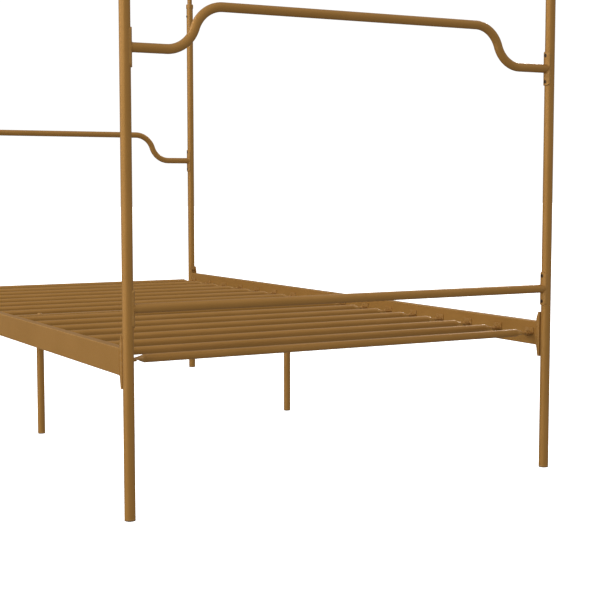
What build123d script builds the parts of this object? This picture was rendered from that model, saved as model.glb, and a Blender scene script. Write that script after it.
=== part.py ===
from build123d import *

import math
import os

# Four poster canopy bed in painted steel tube, sized for a 991 x 1905 mm mattress.
# The origin is on the floor under the middle of the bed: +X across it, +Y from head to foot, +Z up.

# Plan of the posts, between their axes
post_spacing_x = 1019.0
post_spacing_y = 1930.0

# Lower posts
post_diameter = 22.0
post_wall = 1.5
cap_thickness = 2.0
cap_plug_depth = 14.0
lower_post_top = 1251.0
fit_gap = 0.1

# Upper posts, the collars that they stand in and their locking screws
upper_diameter = 16.0
upper_wall = 1.2
upper_post_top = 1962.0
collar_diameter = 24.5
collar_height = 14.0
sleeve_length = 56.0
joint_screw_height = 1224.0
joint_screw_diameter = 4.0
joint_screw_head = 7.0
joint_screw_head_height = 1.8
joint_screw_reach = 6.0
sleeve_lip = 3.0
sleeve_lip_bore = 12.0
collar_chamfer = 0.8

# Head and foot rails
rail_diameter = 19.0
rail_wall = 1.3
head_arch_end_height = 906.0
foot_arch_end_height = 727.0
arch_rise = 86.0
arch_bend_start = 85.0
arch_bend_end = 205.0
head_lower_height = 412.0

# Saddle brackets that wrap the inner side of a post
saddle_thickness = 2.5
saddle_height = 75.0
saddle_half_angle = 50.0
saddle_corner = 7.0
saddle_hole_offset = 29.0
saddle_screw_diameter = 6.0
saddle_screw_head = 8.5
saddle_screw_head_height = 1.2
saddle_seat = 12.4
saddle_screw_reach = 8.0

# Side rails and the channel brackets at their ends
side_rail_width = 20.0
side_rail_bottom = 281.0
side_rail_height = 54.0
side_rail_wall = 1.5
side_rail_corner = 2.0
bracket_thickness = 3.0
bracket_centre_height = 307.0
bracket_half_height = 51.0
bracket_bend = 2.0
bracket_depth = 10.5
bracket_top_depth = 4.5
bracket_foot_depth = 5.5
bracket_full_top = 35.0
bracket_full_foot = -26.0
bracket_bolt_offset = 41.0
bracket_bolt_diameter = 6.0
bracket_bolt_head = 10.5
bracket_bolt_head_height = 3.3
bracket_bolt_reach = 5.0

# Slats: two sets, mirrored about the middle of the bed
slats_per_set = 8
slat_first_from_post = 44.0
slat_inner_from_middle = 86.5
slat_height = 308.5
slat_diameter = 17.0
slat_wall = 1.2
slat_round_half_length = 458.0
slat_taper = 19.0
slat_tab_width = 28.0
slat_tab_thickness = 2.5
slat_tab_gap = 0.5
tab_corner_share = 0.2

# Middle support bar and its legs
bar_size = 20.0
bar_wall = 1.5
bar_corner = 2.0
bar_drop = 5.0
leg_from_post = 144.5
leg_diameter = 19.0
leg_wall = 1.5
leg_plug = 20.0
leg_bolt_diameter = 6.0
leg_bolt_head = 11.0
leg_bolt_head_height = 3.0
leg_bolt_grip = 16.0

# Clips on the inner faces of the side rails, with their screws and nuts
clip_length = 20.0
clip_width = 30.0
clip_thickness = 2.0
clip_rise = 14.25
clip_bend = 1.5
clip_screw_inset = 10.5
clip_screw_diameter = 5.0
clip_screw_head = 9.0
clip_screw_head_height = 2.6
clip_nut_flats = 8.0
clip_nut_height = 4.0
clip_screw_end = 2.5

# Canopy rails: tubes with flattened ends, stacked on a stud at the top of each upper post
canopy_diameter = 16.0
canopy_wall = 1.2
canopy_tab_width = 23.0
canopy_tab_thickness = 2.4
canopy_taper_start = 14.0
canopy_taper = 18.0
stud_diameter = 8.0
plug_depth = 14.0
cap_nut_flats = 13.0
cap_nut_hex_height = 6.5
cap_nut_dome_radius = 5.8
cap_nut_height = 14.2
cap_nut_bore_depth = 9.0
stud_grip = 8.0

# Clearance of a bolt in its hole, and of a threaded end in the wall that it bites into
bolt_clearance = 0.4
thread_gap = 0.1

# Hexagon socket of every screw, as shares of the head's diameter and height
socket_share = 0.45
socket_depth_share = 0.6
head_round_share = 0.4

# Worked-out dimensions
half_x = post_spacing_x / 2
half_y = post_spacing_y / 2
post_radius = post_diameter / 2
post_bore = post_radius - post_wall
saddle_radius = post_radius + saddle_thickness
rail_radius = rail_diameter / 2
side_rail_inner = half_x - side_rail_width / 2
side_rail_middle = side_rail_bottom + side_rail_height / 2
bracket_back = half_y - post_radius
bracket_web = bracket_back - bracket_thickness
side_rail_end = bracket_back - bracket_depth
slat_top = slat_height + slat_diameter / 2
bar_top = slat_top - bar_drop
bar_middle = bar_top - bar_size / 2
bar_bottom = bar_top - bar_size
leg_x = half_x - leg_from_post
clip_top = slat_height - slat_tab_thickness / 2
clip_screw_x = side_rail_inner - clip_screw_inset
canopy_lower_tab = upper_post_top + canopy_tab_thickness / 2
canopy_upper_tab = upper_post_top + 1.5 * canopy_tab_thickness
canopy_stack_top = upper_post_top + 2 * canopy_tab_thickness

slat_pitch = (half_y - slat_first_from_post - slat_inner_from_middle) / (slats_per_set - 1)
foot_set = [slat_inner_from_middle + slat_pitch * i for i in range(slats_per_set)]
slat_rows = sorted([-y for y in foot_set] + foot_set)

corners = [(x, y) for x in (-1, 1) for y in (-1, 1)]
side_names = {-1: "left", 1: "right"}
end_names = {-1: "head", 1: "foot"}
post_places = [(half_x * x, half_y * y) for x, y in corners]

saddle_rows = [
    ("head_arch", -1, head_arch_end_height),
    ("foot_arch", 1, foot_arch_end_height),
    ("head_lower", -1, head_lower_height),
]


os.makedirs("parts", exist_ok=True)


def export_piece(part: Part, label: str) -> None:
    """Label a finished piece and write it under the same name."""
    part.label = label
    export_step(part, f"parts/{label}.step")


def build_lower_post(side: int, end: int) -> Part:
    """Tube of one lower post, with screw holes through its inner walls."""
    centre = (half_x * side, half_y * end)
    screw_heights = [
        height + offset
        for _, row_end, height in saddle_rows
        if row_end == end
        for offset in (-saddle_hole_offset, saddle_hole_offset)
    ]
    with BuildPart() as post:
        with BuildSketch(Plane.XY.offset(cap_thickness)):
            with Locations(centre):
                Circle(post_radius)
                Circle(post_bore, mode=Mode.SUBTRACT)
        extrude(amount=lower_post_top - cap_thickness)
        for height in screw_heights:
            with BuildSketch(Plane(origin=(*centre, height), z_dir=(-side, 0, 0))):
                Circle(saddle_screw_diameter / 2 + thread_gap)
            extrude(amount=post_diameter, mode=Mode.SUBTRACT)
        with BuildSketch(Plane(origin=(*centre, joint_screw_height), z_dir=(-side, 0, 0))):
            Circle(joint_screw_diameter / 2 + thread_gap)
        extrude(amount=post_diameter, mode=Mode.SUBTRACT)
        for offset in (-bracket_bolt_offset, bracket_bolt_offset):
            plane = Plane(origin=(*centre, bracket_centre_height + offset), z_dir=(0, -end, 0))
            with BuildSketch(plane):
                Circle(bracket_bolt_diameter / 2 + thread_gap)
            extrude(amount=post_diameter, mode=Mode.SUBTRACT)
    return post.part


def build_upper_post(side: int, end: int) -> Part:
    """Tube of one upper post, standing in the sleeve of its collar."""
    centre = (half_x * side, half_y * end)
    bottom = lower_post_top - sleeve_length
    with BuildPart() as post:
        with BuildSketch(Plane.XY.offset(bottom)):
            with Locations(centre):
                Circle(upper_diameter / 2)
                Circle(upper_diameter / 2 - upper_wall, mode=Mode.SUBTRACT)
        extrude(amount=upper_post_top - bottom)
        with BuildSketch(Plane(origin=(*centre, joint_screw_height), z_dir=(-side, 0, 0))):
            Circle(joint_screw_diameter / 2 + thread_gap)
        extrude(amount=upper_diameter, mode=Mode.SUBTRACT)
    return post.part


def build_flat_ended_tube(
    round_half: float,
    taper: float,
    tab_half: float,
    diameter: float,
    wall: float,
    tab_width: float,
    tab_thickness: float,
    hole_x: float,
    hole_diameter: float,
) -> Part:
    """Round tube along X at the origin, pressed flat at both ends and drilled there."""
    with BuildPart() as tube:
        with BuildSketch(Plane.YZ):
            Circle(diameter / 2)
            Circle(diameter / 2 - wall, mode=Mode.SUBTRACT)
        extrude(amount=round_half)
        with BuildSketch(Plane.YZ.offset(round_half)):
            Circle(diameter / 2)
        with BuildSketch(Plane.YZ.offset(round_half + taper)):
            Ellipse(tab_width / 2, tab_thickness / 2)
        loft()
        with BuildSketch(Plane.XY.offset(-tab_thickness / 2)):
            with Locations(((round_half + taper + tab_half) / 2, 0)):
                Rectangle(tab_half - round_half - taper, tab_width)
        extrude(amount=tab_thickness)
        tab_corners = tube.edges().filter_by(Axis.Z).group_by(Axis.X)[-1]
        fillet(tab_corners, radius=tab_width * tab_corner_share)
        with BuildSketch(Plane.XY.offset(-tab_thickness)):
            with Locations((hole_x, 0)):
                Circle(hole_diameter / 2)
        extrude(amount=2 * tab_thickness, mode=Mode.SUBTRACT)
        mirror(about=Plane.YZ)
    return tube.part


def build_arch_rail(end: int, end_height: float) -> Part:
    """Stepped rail: straight ends, an S-bend of two tangent arcs each side, a raised middle."""
    bend_length = arch_bend_end - arch_bend_start
    arc_angle = 2 * math.degrees(math.atan2(arch_rise, bend_length))
    turn = math.radians(arc_angle)
    arc_radius = bend_length / 2 / math.sin(turn)
    rail_plane = Plane.XZ.offset(-half_y * end)
    with BuildPart() as rail:
        with BuildLine(rail_plane) as path:
            outer = Line((-half_x, end_height), (-half_x + arch_bend_start, end_height))
            lower = JernArc(outer @ 1, (1, 0), arc_radius, arc_angle)
            upper = JernArc(lower @ 1, (math.cos(turn), math.sin(turn)), arc_radius, -arc_angle)
            Line(upper @ 1, (0, end_height + arch_rise))
        with BuildSketch(Plane(origin=path.line @ 0, z_dir=path.line % 0)):
            Circle(rail_radius)
            Circle(rail_radius - rail_wall, mode=Mode.SUBTRACT)
        sweep()
        with Locations((-half_x, half_y * end, end_height)):
            Cylinder(saddle_radius, 2 * rail_diameter, mode=Mode.SUBTRACT)
        mirror(about=Plane.YZ)
    return rail.part


def build_saddle(side: int, end: int, height: float) -> Part:
    """Curved plate on the inner side of a post, with two countersunk screw seats."""
    centre = (half_x * side, half_y * end)
    half_width = saddle_radius * math.sin(math.radians(saddle_half_angle))
    with BuildPart() as saddle:
        with BuildSketch(Plane.XY.offset(height - saddle_height / 2)):
            with Locations(centre):
                Circle(saddle_radius)
                Circle(post_radius, mode=Mode.SUBTRACT)
        extrude(amount=saddle_height)
        outline_plane = Plane(origin=(*centre, height), x_dir=(0, 1, 0), z_dir=(-side, 0, 0))
        with BuildSketch(outline_plane):
            RectangleRounded(2 * half_width, saddle_height, saddle_corner)
        extrude(amount=post_diameter, mode=Mode.INTERSECT)
        for offset in (-saddle_hole_offset, saddle_hole_offset):
            hole_origin = (*centre, height + offset)
            with BuildSketch(Plane(origin=hole_origin, z_dir=(-side, 0, 0))):
                Circle((saddle_screw_diameter + bolt_clearance) / 2)
            extrude(amount=post_diameter, mode=Mode.SUBTRACT)
            seat_plane = Plane(origin=hole_origin, z_dir=(-side, 0, 0)).offset(saddle_seat)
            with BuildSketch(seat_plane):
                Circle((saddle_screw_head + bolt_clearance) / 2)
            extrude(amount=post_diameter, mode=Mode.SUBTRACT)
    return saddle.part


def build_side_bracket(side: int, end: int) -> Part:
    """Channel bracket between a post and a side rail: a web on the post and two shaped flanges."""
    plane = Plane(
        origin=(half_x * side, bracket_back * end, bracket_centre_height),
        x_dir=(0, -end, 0),
        z_dir=(-end, 0, 0),
    )
    with BuildPart() as bracket:
        with BuildSketch(plane):
            with BuildLine():
                Polyline(
                    (0, -bracket_half_height),
                    (bracket_foot_depth, -bracket_half_height),
                    (bracket_depth, bracket_full_foot),
                    (bracket_depth, bracket_full_top),
                    (bracket_top_depth, bracket_half_height),
                    (0, bracket_half_height),
                    close=True,
                )
            make_face()
        extrude(amount=side_rail_width / 2, both=True)
        bends = bracket.edges().filter_by(Axis.Z).group_by(Axis.Y)[-1 if end > 0 else 0]
        fillet(bends, radius=bracket_bend)
        with BuildSketch(plane):
            with Locations((bracket_thickness + bracket_depth, 0)):
                Rectangle(2 * bracket_depth, 2 * bracket_depth + 2 * bracket_half_height)
        extrude(amount=side_rail_width / 2 - bracket_thickness, both=True, mode=Mode.SUBTRACT)
        for offset in (-bracket_bolt_offset, bracket_bolt_offset):
            hole_origin = (half_x * side, bracket_back * end, bracket_centre_height + offset)
            with BuildSketch(Plane(origin=hole_origin, z_dir=(0, -end, 0))):
                Circle((bracket_bolt_diameter + bolt_clearance) / 2)
            extrude(amount=bracket_thickness, mode=Mode.SUBTRACT)
    return bracket.part


def build_screw(head: float, head_height: float, shank: float, shank_length: float) -> Part:
    """Round-headed socket screw along Z, its head standing on the plane Z = 0."""
    with BuildPart() as screw:
        Cylinder(head / 2, head_height, align=(Align.CENTER, Align.CENTER, Align.MIN))
        rim = screw.edges().filter_by(GeomType.CIRCLE).sort_by(Axis.Z)[-1]
        fillet(rim, radius=head_height * head_round_share)
        with BuildSketch(Plane.XY.offset(head_height)):
            RegularPolygon(head * socket_share / 2, 6)
        extrude(amount=-head_height * socket_depth_share, mode=Mode.SUBTRACT)
        Cylinder(shank / 2, shank_length, align=(Align.CENTER, Align.CENTER, Align.MAX))
    return screw.part


# Caps under the posts, plugged into their tubes
with BuildPart() as post_foot_caps:
    with BuildSketch():
        with Locations(*post_places):
            Circle(post_radius)
    extrude(amount=cap_thickness)
    with BuildSketch(Plane.XY.offset(cap_thickness)):
        with Locations(*post_places):
            Circle(post_bore - fit_gap)
    extrude(amount=cap_plug_depth)
export_piece(post_foot_caps.part, "post_foot_caps")

# Lower and upper posts
for side, end in corners:
    place_name = f"{end_names[end]}_{side_names[side]}"
    export_piece(build_lower_post(side, end), f"lower_post_{place_name}")
    export_piece(build_upper_post(side, end), f"upper_post_{place_name}")

# Collars: a ring on each lower post and a lipped sleeve inside it, round the upper post
with BuildPart() as post_collars:
    with BuildSketch(Plane.XY.offset(lower_post_top)):
        with Locations(*post_places):
            Circle(collar_diameter / 2)
    extrude(amount=collar_height)
    collar_rims = post_collars.edges().filter_by(GeomType.CIRCLE)
    chamfer(collar_rims, length=collar_chamfer)
    with BuildSketch(Plane.XY.offset(lower_post_top - sleeve_length - sleeve_lip)):
        with Locations(*post_places):
            Circle(post_bore - fit_gap)
    extrude(amount=sleeve_length + sleeve_lip)
    with BuildSketch(Plane.XY.offset(lower_post_top - sleeve_length)):
        with Locations(*post_places):
            Circle(upper_diameter / 2 + fit_gap)
    extrude(amount=sleeve_length + collar_height, mode=Mode.SUBTRACT)
    with BuildSketch(Plane.XY.offset(lower_post_top - sleeve_length - sleeve_lip)):
        with Locations(*post_places):
            Circle(sleeve_lip_bore / 2)
    extrude(amount=sleeve_lip, mode=Mode.SUBTRACT)
    for side, end in corners:
        origin = (half_x * side, half_y * end, joint_screw_height)
        with BuildSketch(Plane(origin=origin, z_dir=(-side, 0, 0))):
            Circle(joint_screw_diameter / 2 + thread_gap)
        extrude(amount=post_radius, mode=Mode.SUBTRACT)
export_piece(post_collars.part, "post_collars")

# Screws that lock the upper posts, on the inner side of each lower post
joint_screw = build_screw(
    joint_screw_head,
    joint_screw_head_height,
    joint_screw_diameter,
    post_radius - joint_screw_reach,
)
joint_screw_seats = [
    Plane(origin=((half_x - post_radius) * x, half_y * y, joint_screw_height), z_dir=(-x, 0, 0))
    for x, y in corners
]
with BuildPart() as post_joint_screws:
    with Locations(*joint_screw_seats):
        add(joint_screw)
export_piece(post_joint_screws.part, "post_joint_screws")

# Stepped arches at the head and the foot
export_piece(build_arch_rail(-1, head_arch_end_height), "head_arch_rail")
export_piece(build_arch_rail(1, foot_arch_end_height), "foot_arch_rail")

# Straight lower rail at the head
with BuildPart() as head_lower_rail:
    with BuildSketch(Plane.YZ):
        with Locations((-half_y, head_lower_height)):
            Circle(rail_radius)
            Circle(rail_radius - rail_wall, mode=Mode.SUBTRACT)
    extrude(amount=half_x)
    with Locations((half_x, -half_y, head_lower_height)):
        Cylinder(saddle_radius, 2 * rail_diameter, mode=Mode.SUBTRACT)
    mirror(about=Plane.YZ)
export_piece(head_lower_rail.part, "head_lower_rail")

# Saddle brackets between the rail ends and the posts, and the screws seated in them
for rail_name, end, height in saddle_rows:
    for side in (-1, 1):
        label = f"{rail_name}_saddle_{side_names[side]}"
        export_piece(build_saddle(side, end, height), label)

saddle_screw = build_screw(
    saddle_screw_head,
    saddle_screw_head_height,
    saddle_screw_diameter,
    saddle_seat - saddle_screw_reach,
)
saddle_screw_seats = [
    Plane(
        origin=((half_x - saddle_seat) * side, half_y * end, height + offset),
        z_dir=(-side, 0, 0),
    )
    for _, end, height in saddle_rows
    for side in (-1, 1)
    for offset in (-saddle_hole_offset, saddle_hole_offset)
]
with BuildPart() as saddle_screws:
    with Locations(*saddle_screw_seats):
        add(saddle_screw)
export_piece(saddle_screws.part, "saddle_screws")

# Side rails: rectangular tubes between their end brackets
with BuildPart() as side_rail_right:
    with BuildSketch(Plane.XZ.offset(-side_rail_end)):
        with Locations((half_x, side_rail_middle)):
            RectangleRounded(side_rail_width, side_rail_height, side_rail_corner)
            RectangleRounded(
                side_rail_width - 2 * side_rail_wall,
                side_rail_height - 2 * side_rail_wall,
                side_rail_corner - side_rail_wall,
                mode=Mode.SUBTRACT,
            )
    extrude(amount=2 * side_rail_end)
with BuildPart() as side_rail_left:
    mirror(side_rail_right.part, about=Plane.YZ)
export_piece(side_rail_left.part, "side_rail_left")
export_piece(side_rail_right.part, "side_rail_right")

for side, end in corners:
    place_name = f"{end_names[end]}_{side_names[side]}"
    export_piece(build_side_bracket(side, end), f"side_bracket_{place_name}")

# Bolts from the bed's side of each end bracket into the post
bracket_bolt = build_screw(
    bracket_bolt_head,
    bracket_bolt_head_height,
    bracket_bolt_diameter,
    half_y - bracket_web - bracket_bolt_reach,
)
bracket_bolt_seats = [
    Plane(
        origin=(half_x * side, bracket_web * end, bracket_centre_height + offset),
        z_dir=(0, -end, 0),
    )
    for side, end in corners
    for offset in (-bracket_bolt_offset, bracket_bolt_offset)
]
with BuildPart() as side_rail_bolts:
    with Locations(*bracket_bolt_seats):
        add(bracket_bolt)
export_piece(side_rail_bolts.part, "side_rail_bolts")

# Slats
slat_shape = build_flat_ended_tube(
    round_half=slat_round_half_length,
    taper=slat_taper,
    tab_half=side_rail_inner - clip_thickness - slat_tab_gap,
    diameter=slat_diameter,
    wall=slat_wall,
    tab_width=slat_tab_width,
    tab_thickness=slat_tab_thickness,
    hole_x=clip_screw_x,
    hole_diameter=clip_screw_diameter + bolt_clearance,
)
for number, row in enumerate(slat_rows, start=1):
    with BuildPart() as slat:
        with Locations((0, row, slat_height)):
            add(slat_shape)
    export_piece(slat.part, f"slat_{number:02d}")

# Middle support bar, square tube, drilled for the leg bolts and the end bolts
bar_bolt_places = [
    (-clip_screw_x, clip_screw_diameter),
    (-leg_x, leg_bolt_diameter),
    (leg_x, leg_bolt_diameter),
    (clip_screw_x, clip_screw_diameter),
]
with BuildPart() as support_bar:
    with BuildSketch(Plane.YZ.offset(-(side_rail_inner - clip_thickness - slat_tab_gap))):
        with Locations((0, bar_middle)):
            RectangleRounded(bar_size, bar_size, bar_corner)
            Rectangle(bar_size - 2 * bar_wall, bar_size - 2 * bar_wall, mode=Mode.SUBTRACT)
    extrude(amount=2 * (side_rail_inner - clip_thickness - slat_tab_gap))
    for x, diameter in bar_bolt_places:
        with BuildSketch(Plane.XY.offset(bar_bottom)):
            with Locations((x, 0)):
                Circle((diameter + bolt_clearance) / 2)
        extrude(amount=bar_size, mode=Mode.SUBTRACT)
export_piece(support_bar.part, "support_bar")

# Legs under the bar, each with a drilled plug welded in its top
for side in (-1, 1):
    with BuildPart() as support_leg:
        with BuildSketch(Plane.XY.offset(cap_thickness)):
            with Locations((leg_x * side, 0)):
                Circle(leg_diameter / 2)
                Circle(leg_diameter / 2 - leg_wall, mode=Mode.SUBTRACT)
        extrude(amount=bar_bottom - cap_thickness)
        with BuildSketch(Plane.XY.offset(bar_bottom - leg_plug)):
            with Locations((leg_x * side, 0)):
                Circle(leg_diameter / 2 - leg_wall)
                Circle(leg_bolt_diameter / 2 + thread_gap, mode=Mode.SUBTRACT)
        extrude(amount=leg_plug)
    export_piece(support_leg.part, f"support_leg_{side_names[side]}")

with BuildPart() as leg_foot_caps:
    with BuildSketch():
        with Locations((-leg_x, 0), (leg_x, 0)):
            Circle(leg_diameter / 2)
    extrude(amount=cap_thickness)
    with BuildSketch(Plane.XY.offset(cap_thickness)):
        with Locations((-leg_x, 0), (leg_x, 0)):
            Circle(leg_diameter / 2 - leg_wall - fit_gap)
    extrude(amount=cap_plug_depth)
export_piece(leg_foot_caps.part, "leg_foot_caps")

# Bolts down through the bar: two into the legs, two through the end clips
leg_bolt = build_screw(
    leg_bolt_head, leg_bolt_head_height, leg_bolt_diameter, bar_size + leg_bolt_grip
)
bar_end_bolt = build_screw(
    clip_screw_head,
    clip_screw_head_height,
    clip_screw_diameter,
    bar_size + clip_thickness + clip_nut_height + clip_screw_end,
)
with BuildPart() as bar_bolts:
    with Locations((-leg_x, 0, bar_top), (leg_x, 0, bar_top)):
        add(leg_bolt)
    with Locations((-clip_screw_x, 0, bar_top), (clip_screw_x, 0, bar_top)):
        add(bar_end_bolt)
export_piece(bar_bolts.part, "bar_bolts")

# L clips welded to the inner faces of the side rails
clip_plane = Plane(origin=(side_rail_inner, 0, 0), x_dir=(-1, 0, 0), z_dir=(0, 1, 0))
with BuildPart() as clip:
    with BuildSketch(clip_plane):
        with BuildLine():
            Polyline(
                (0, -clip_thickness),
                (clip_length, -clip_thickness),
                (clip_length, 0),
                (clip_thickness, 0),
                (clip_thickness, clip_rise - clip_thickness),
                (0, clip_rise - clip_thickness),
                close=True,
            )
        make_face()
    extrude(amount=clip_width / 2, both=True)
    lower_bend = clip.edges().filter_by(Axis.Y).group_by(Axis.Z)[0].sort_by(Axis.X)[-1]
    fillet(lower_bend, radius=clip_bend)
    with BuildSketch(Plane.XY.offset(-clip_thickness)):
        with Locations((clip_screw_x, 0)):
            Circle((clip_screw_diameter + bolt_clearance) / 2)
    extrude(amount=clip_thickness, mode=Mode.SUBTRACT)

clip_seats = [(row, clip_top) for row in slat_rows] + [(0.0, bar_bottom)]
with BuildPart() as slat_clips_right:
    with Locations(*[(0, y, z) for y, z in clip_seats]):
        add(clip.part)
with BuildPart() as slat_clips_left:
    mirror(slat_clips_right.part, about=Plane.YZ)
export_piece(slat_clips_left.part, "slat_clips_left")
export_piece(slat_clips_right.part, "slat_clips_right")

# Screws through the flattened slat ends, and a nut under every clip
slat_screw = build_screw(
    clip_screw_head,
    clip_screw_head_height,
    clip_screw_diameter,
    slat_tab_thickness + clip_thickness + clip_nut_height + clip_screw_end,
)
slat_screw_top = slat_height + slat_tab_thickness / 2
with BuildPart() as slat_screws:
    with Locations(*[(clip_screw_x * x, row, slat_screw_top) for x in (-1, 1) for row in slat_rows]):
        add(slat_screw)
export_piece(slat_screws.part, "slat_screws")

nut_places = [
    (clip_screw_x * x, y, z - clip_thickness - clip_nut_height) for x in (-1, 1) for y, z in clip_seats
]
with BuildPart() as clip_nut:
    with BuildSketch():
        RegularPolygon(clip_nut_flats / 2, 6, major_radius=False)
        Circle(clip_screw_diameter / 2 + thread_gap, mode=Mode.SUBTRACT)
    extrude(amount=clip_nut_height)
with BuildPart() as slat_nuts:
    with Locations(*nut_places):
        add(clip_nut.part)
export_piece(slat_nuts.part, "slat_nuts")

# Canopy rails: those across the bed lie under those along it at each stud
canopy_hole = stud_diameter + bolt_clearance
across_shape = build_flat_ended_tube(
    round_half=half_x - canopy_taper_start - canopy_taper,
    taper=canopy_taper,
    tab_half=half_x + post_radius,
    diameter=canopy_diameter,
    wall=canopy_wall,
    tab_width=canopy_tab_width,
    tab_thickness=canopy_tab_thickness,
    hole_x=half_x,
    hole_diameter=canopy_hole,
)
along_shape = build_flat_ended_tube(
    round_half=half_y - canopy_taper_start - canopy_taper,
    taper=canopy_taper,
    tab_half=half_y + post_radius,
    diameter=canopy_diameter,
    wall=canopy_wall,
    tab_width=canopy_tab_width,
    tab_thickness=canopy_tab_thickness,
    hole_x=half_y,
    hole_diameter=canopy_hole,
)
for end in (-1, 1):
    with BuildPart() as canopy_across:
        with Locations((0, half_y * end, canopy_lower_tab)):
            add(across_shape)
    export_piece(canopy_across.part, f"canopy_rail_{end_names[end]}")
for side in (-1, 1):
    with BuildPart() as canopy_along:
        with Locations(Location((half_x * side, 0, canopy_upper_tab), (0, 0, 90))):
            add(along_shape)
    export_piece(canopy_along.part, f"canopy_rail_{side_names[side]}")

# Plugs in the tops of the upper posts, each with a threaded stud
with BuildPart() as canopy_plugs:
    with BuildSketch(Plane.XY.offset(upper_post_top - plug_depth)):
        with Locations(*post_places):
            Circle(upper_diameter / 2 - upper_wall - fit_gap)
    extrude(amount=plug_depth)
    with BuildSketch(Plane.XY.offset(upper_post_top)):
        with Locations(*post_places):
            Circle(stud_diameter / 2)
    extrude(amount=canopy_stack_top + stud_grip - upper_post_top)
export_piece(canopy_plugs.part, "canopy_plugs")

# Domed cap nuts on the studs
with BuildPart() as cap_nut:
    with BuildSketch():
        RegularPolygon(cap_nut_flats / 2, 6, major_radius=False)
    extrude(amount=cap_nut_hex_height)
    Cylinder(
        cap_nut_dome_radius,
        cap_nut_height - cap_nut_dome_radius,
        align=(Align.CENTER, Align.CENTER, Align.MIN),
    )
    with Locations((0, 0, cap_nut_height - cap_nut_dome_radius)):
        Sphere(cap_nut_dome_radius)
    Cylinder(
        stud_diameter / 2 + thread_gap,
        cap_nut_bore_depth,
        align=(Align.CENTER, Align.CENTER, Align.MIN),
        mode=Mode.SUBTRACT,
    )
with BuildPart() as canopy_cap_nuts:
    with Locations(*[(x, y, canopy_stack_top) for x, y in post_places]):
        add(cap_nut.part)
export_piece(canopy_cap_nuts.part, "canopy_cap_nuts")
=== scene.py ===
"""Four poster canopy bed in gold-painted steel tube: the visual model.

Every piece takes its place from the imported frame: +X runs across the bed, +Y from the
head to the foot and +Z up, in metres.
"""

from __future__ import annotations

import logging
import math
from dataclasses import dataclass, field
from enum import Enum
from typing import Sequence

import bmesh
import bpy
from mathutils import Euler, Matrix, Vector

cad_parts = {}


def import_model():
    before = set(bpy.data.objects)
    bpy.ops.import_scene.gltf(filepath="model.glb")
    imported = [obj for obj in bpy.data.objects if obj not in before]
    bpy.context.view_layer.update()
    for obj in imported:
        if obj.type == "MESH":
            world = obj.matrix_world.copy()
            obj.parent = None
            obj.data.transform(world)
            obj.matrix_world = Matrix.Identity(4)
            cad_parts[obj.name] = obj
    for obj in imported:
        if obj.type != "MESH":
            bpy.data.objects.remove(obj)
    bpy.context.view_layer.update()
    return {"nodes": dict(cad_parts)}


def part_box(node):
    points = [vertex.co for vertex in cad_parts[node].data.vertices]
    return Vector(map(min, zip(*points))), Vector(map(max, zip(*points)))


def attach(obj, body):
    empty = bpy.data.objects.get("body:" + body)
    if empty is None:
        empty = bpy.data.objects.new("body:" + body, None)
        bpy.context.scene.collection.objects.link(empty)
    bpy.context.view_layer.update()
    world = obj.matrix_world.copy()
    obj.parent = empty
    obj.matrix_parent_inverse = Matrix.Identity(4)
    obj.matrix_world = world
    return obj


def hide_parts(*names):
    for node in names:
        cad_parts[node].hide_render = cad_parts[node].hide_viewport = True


LOG = logging.getLogger("canopy_bed")
MM = 0.001
BODY = "root"

# Mesh attributes: how thin the paint is worn, together with a painted glint on pressed shoulders, and
# how a placed shape is turned.
RUB_AND_GLINT = "rub"
TURN = "turn"

# Range of a value that runs from none to all.
FULL = (0.0, 1.0)

# Narrow strip beside a round corner that keeps the shading of the flat face flat.
FLAT_GUARD = 0.4 * MM

# Edges steeper than these stay crisp: on most pieces, on tubes with open or eased ends,
# on the sockets of screws and on nuts.
CRISP = 38.0
SOFT_CRISP = 50.0
SOCKET_CRISP = 32.0
NUT_CRISP = 28.0

# Radius where a nut's corners are turned off, as a share of half its flats, and their rub.
NUT_TURNING = 1.03
NUT_RUB = 0.5

# Steps across an eased edge, and sides of a weld bead.
EASE_STEPS = 2
BEAD_SIDES = 10


class Side(Enum):
    """The two long sides of the bed."""

    LEFT = -1
    RIGHT = 1

    @property
    def label(self) -> str:
        """Name of the side, as the frame's nodes spell it."""
        return self.name.lower()


class End(Enum):
    """The two ends of the bed."""

    HEAD = -1
    FOOT = 1

    @property
    def label(self) -> str:
        """Name of the end, as the frame's nodes spell it."""
        return self.name.lower()


class Slot(Enum):
    """Material slots of the record."""

    GOLD = "gold_paint"
    SCREW = "dark_screw"
    CAP = "cap_plastic"


@dataclass(frozen=True)
class NodeBox:
    """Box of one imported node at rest."""

    low: Vector
    high: Vector

    @classmethod
    def of(cls, node: str) -> NodeBox:
        """Box of the named node."""
        low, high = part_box(node)
        return cls(Vector(low), Vector(high))

    @property
    def centre(self) -> Vector:
        """Middle of the box."""
        return (self.low + self.high) / 2

    @property
    def size(self) -> Vector:
        """Edge lengths of the box."""
        return self.high - self.low


# ---------------------------------------------------------------- finishes


def stretch(
    tree: bpy.types.NodeTree,
    value: bpy.types.NodeSocket,
    span: tuple[float, float],
    to: tuple[float, float],
) -> bpy.types.NodeSocket:
    """Stretch a value from one range to another, clamped.

    Args:
        tree: The tree to wire it in.
        value: The value's socket.
        span: The old range.
        to: The new range.

    Returns:
        The stretched value's socket.
    """
    node = tree.nodes.new("ShaderNodeMapRange")
    node.inputs["From Min"].default_value, node.inputs["From Max"].default_value = span
    node.inputs["To Min"].default_value, node.inputs["To Max"].default_value = to
    tree.links.new(value, node.inputs["Value"])
    return node.outputs["Result"]


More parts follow.
